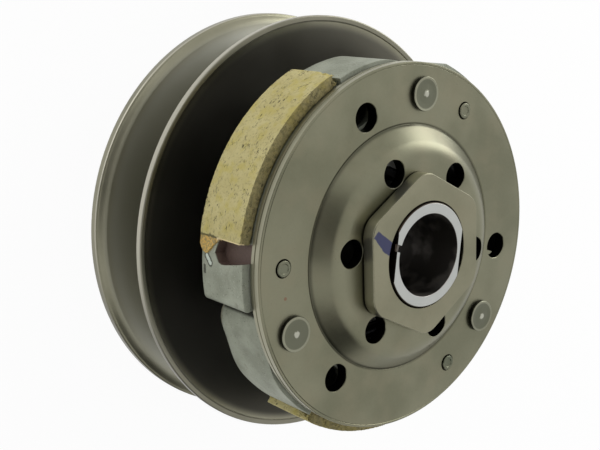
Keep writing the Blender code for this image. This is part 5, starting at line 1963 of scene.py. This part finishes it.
def matt(name: str, colour: Point) -> bpy.types.Material:
    """Makes a plain matt material.

    Args:
        name: Name of the material.
        colour: Its linear colour.

    Returns:
        The material.
    """
    material = bpy.data.materials.new(name)
    material.use_nodes = True
    shader = material.node_tree.nodes["Principled BSDF"]
    shader.inputs["Base Color"].default_value = colour
    shader.inputs["Roughness"].default_value = 0.9
    return material


@dataclass
class Studio:
    """Camera, lamps, white surroundings and floor."""

    location: Point = (-203.664, 1.945, 242.963)
    right: Point = (0.7191, 0.2508, 0.6481)
    up: Point = (-0.1791, 0.968, -0.1758)
    back: Point = (-0.6714, 0.0104, 0.741)
    lens: float = 61.411
    sensor: float = 36.0
    daylight: float = 0.72
    paper: Point = (0.93, 0.93, 0.93, 1.0)
    white: Point = (1.0, 1.0, 1.0, 1.0)
    clip_start: float = 0.01
    aim: Point = (0, 0, 0.04)
    floor_size: float = 6.0
    floor_height: float = -0.00005
    glow: float = 0.95

    def build(self) -> None:
        """Sets the studio up."""
        self.camera()
        for lamp in Lamp:
            self.light(lamp)
        for card in Card:
            self.card(card)
        self.surroundings()
        self.floor()
        bpy.context.scene.view_settings.view_transform = "Standard"

    def camera(self) -> None:
        """Places the camera at the photograph's viewing angle."""
        eye = bpy.data.cameras.new("camera")
        eye.lens = self.lens
        eye.sensor_width = self.sensor
        eye.clip_start = self.clip_start
        camera = bpy.data.objects.new("camera", eye)
        axes = Matrix((self.right, self.up, self.back)).transposed()
        camera.matrix_world = Matrix.Translation(Vector(self.location) * MM) @ axes.to_4x4()
        bpy.context.collection.objects.link(camera)
        bpy.context.scene.camera = camera

    def light(self, lamp: Lamp) -> None:
        """Adds a soft square lamp that faces the part.

        Args:
            lamp: The lamp.
        """
        place, width, power = lamp.value
        data = bpy.data.lights.new("soft_lamp_" + lamp.name.lower(), "AREA")
        data.shape = "SQUARE"
        data.size = width
        data.energy = power
        light = bpy.data.objects.new(data.name, data)
        light.location = place
        heading = Vector(self.aim) - Vector(place)
        light.rotation_euler = heading.to_track_quat("-Z", "Y").to_euler()
        bpy.context.collection.objects.link(light)

    def card(self, card: Card) -> None:
        """Stands a grey card beside the part, out of the camera's sight.

        Args:
            card: The card.
        """
        heading, distance, width, grey = card.value
        direction = Vector(heading).normalized()
        deselect_all()
        bpy.ops.mesh.primitive_plane_add(size=width, location=direction * distance)
        solid = bpy.context.active_object
        solid.name = "grey_card_" + card.name.lower()
        solid.rotation_euler = (-direction).to_track_quat("-Z", "Y").to_euler()
        solid.visible_camera = False
        solid.data.materials.append(matt(solid.name, tone(grey, grey, grey)))

    def surroundings(self) -> None:
        """Makes the world white where it is looked at, and softer where it only lights."""
        world = bpy.data.worlds.new("studio")
        world.use_nodes = True
        bpy.context.scene.world = world
        tree = world.node_tree
        paper = tree.nodes["Background"]
        paper.inputs["Color"].default_value = self.white
        seen = self.seen(tree)
        strength = tree.nodes.new("ShaderNodeMapRange")
        strength.inputs["To Min"].default_value = self.daylight
        strength.inputs["To Max"].default_value = 1.0
        tree.links.new(seen, strength.inputs["Value"])
        tree.links.new(strength.outputs["Result"], paper.inputs["Strength"])

    def seen(self, tree: bpy.types.NodeTree) -> bpy.types.NodeSocket:
        """Tells apart what is seen, directly or in metal and glass, from what only lights.

        Args:
            tree: The tree that the nodes are added to.

        Returns:
            A socket that is 1 for camera, glossy and transmission rays.
        """
        path = tree.nodes.new("ShaderNodeLightPath")
        last = path.outputs["Is Camera Ray"]
        for word in ("Is Glossy Ray", "Is Transmission Ray"):
            node = tree.nodes.new("ShaderNodeMath")
            node.operation = "MAXIMUM"
            tree.links.new(last, node.inputs[0])
            tree.links.new(path.outputs[word], node.inputs[1])
            last = node.outputs[0]
        return last

    def floor(self) -> None:
        """Lays a white floor that keeps a faint shadow."""
        deselect_all()
        bpy.ops.mesh.primitive_plane_add(size=self.floor_size, location=(0, 0, self.floor_height))
        floor = bpy.context.active_object
        floor.name = "floor"
        material = matt("floor_paper", self.paper)
        tree = material.node_tree
        white = tree.nodes.new("ShaderNodeEmission")
        white.inputs["Color"].default_value = self.white
        share = tree.nodes.new("ShaderNodeMath")
        share.operation = "MULTIPLY"
        share.inputs[1].default_value = self.glow
        tree.links.new(self.seen(tree), share.inputs[0])
        mix = tree.nodes.new("ShaderNodeMixShader")
        tree.links.new(share.outputs[0], mix.inputs[0])
        tree.links.new(tree.nodes["Principled BSDF"].outputs[0], mix.inputs[1])
        tree.links.new(white.outputs[0], mix.inputs[2])
        tree.links.new(mix.outputs[0], tree.nodes["Material Output"].inputs["Surface"])
        floor.data.materials.append(material)


def main() -> None:
    """Builds every sub-assembly, then the studio."""
    logging.basicConfig(level=logging.INFO, format="%(message)s")
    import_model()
    finishes = Finishes()
    for group in (Pulley(), HubSleeve(), Bearings(), TorqueCam(), CarrierPlate(), ClutchNut(), Pins(),
                  SidePlate(), Shoes(), Linings(), Springs()):
        LOG.info("building %s", type(group).__name__)
        group.build(finishes)
    Studio().build()


if __name__ == "__main__":
    main()
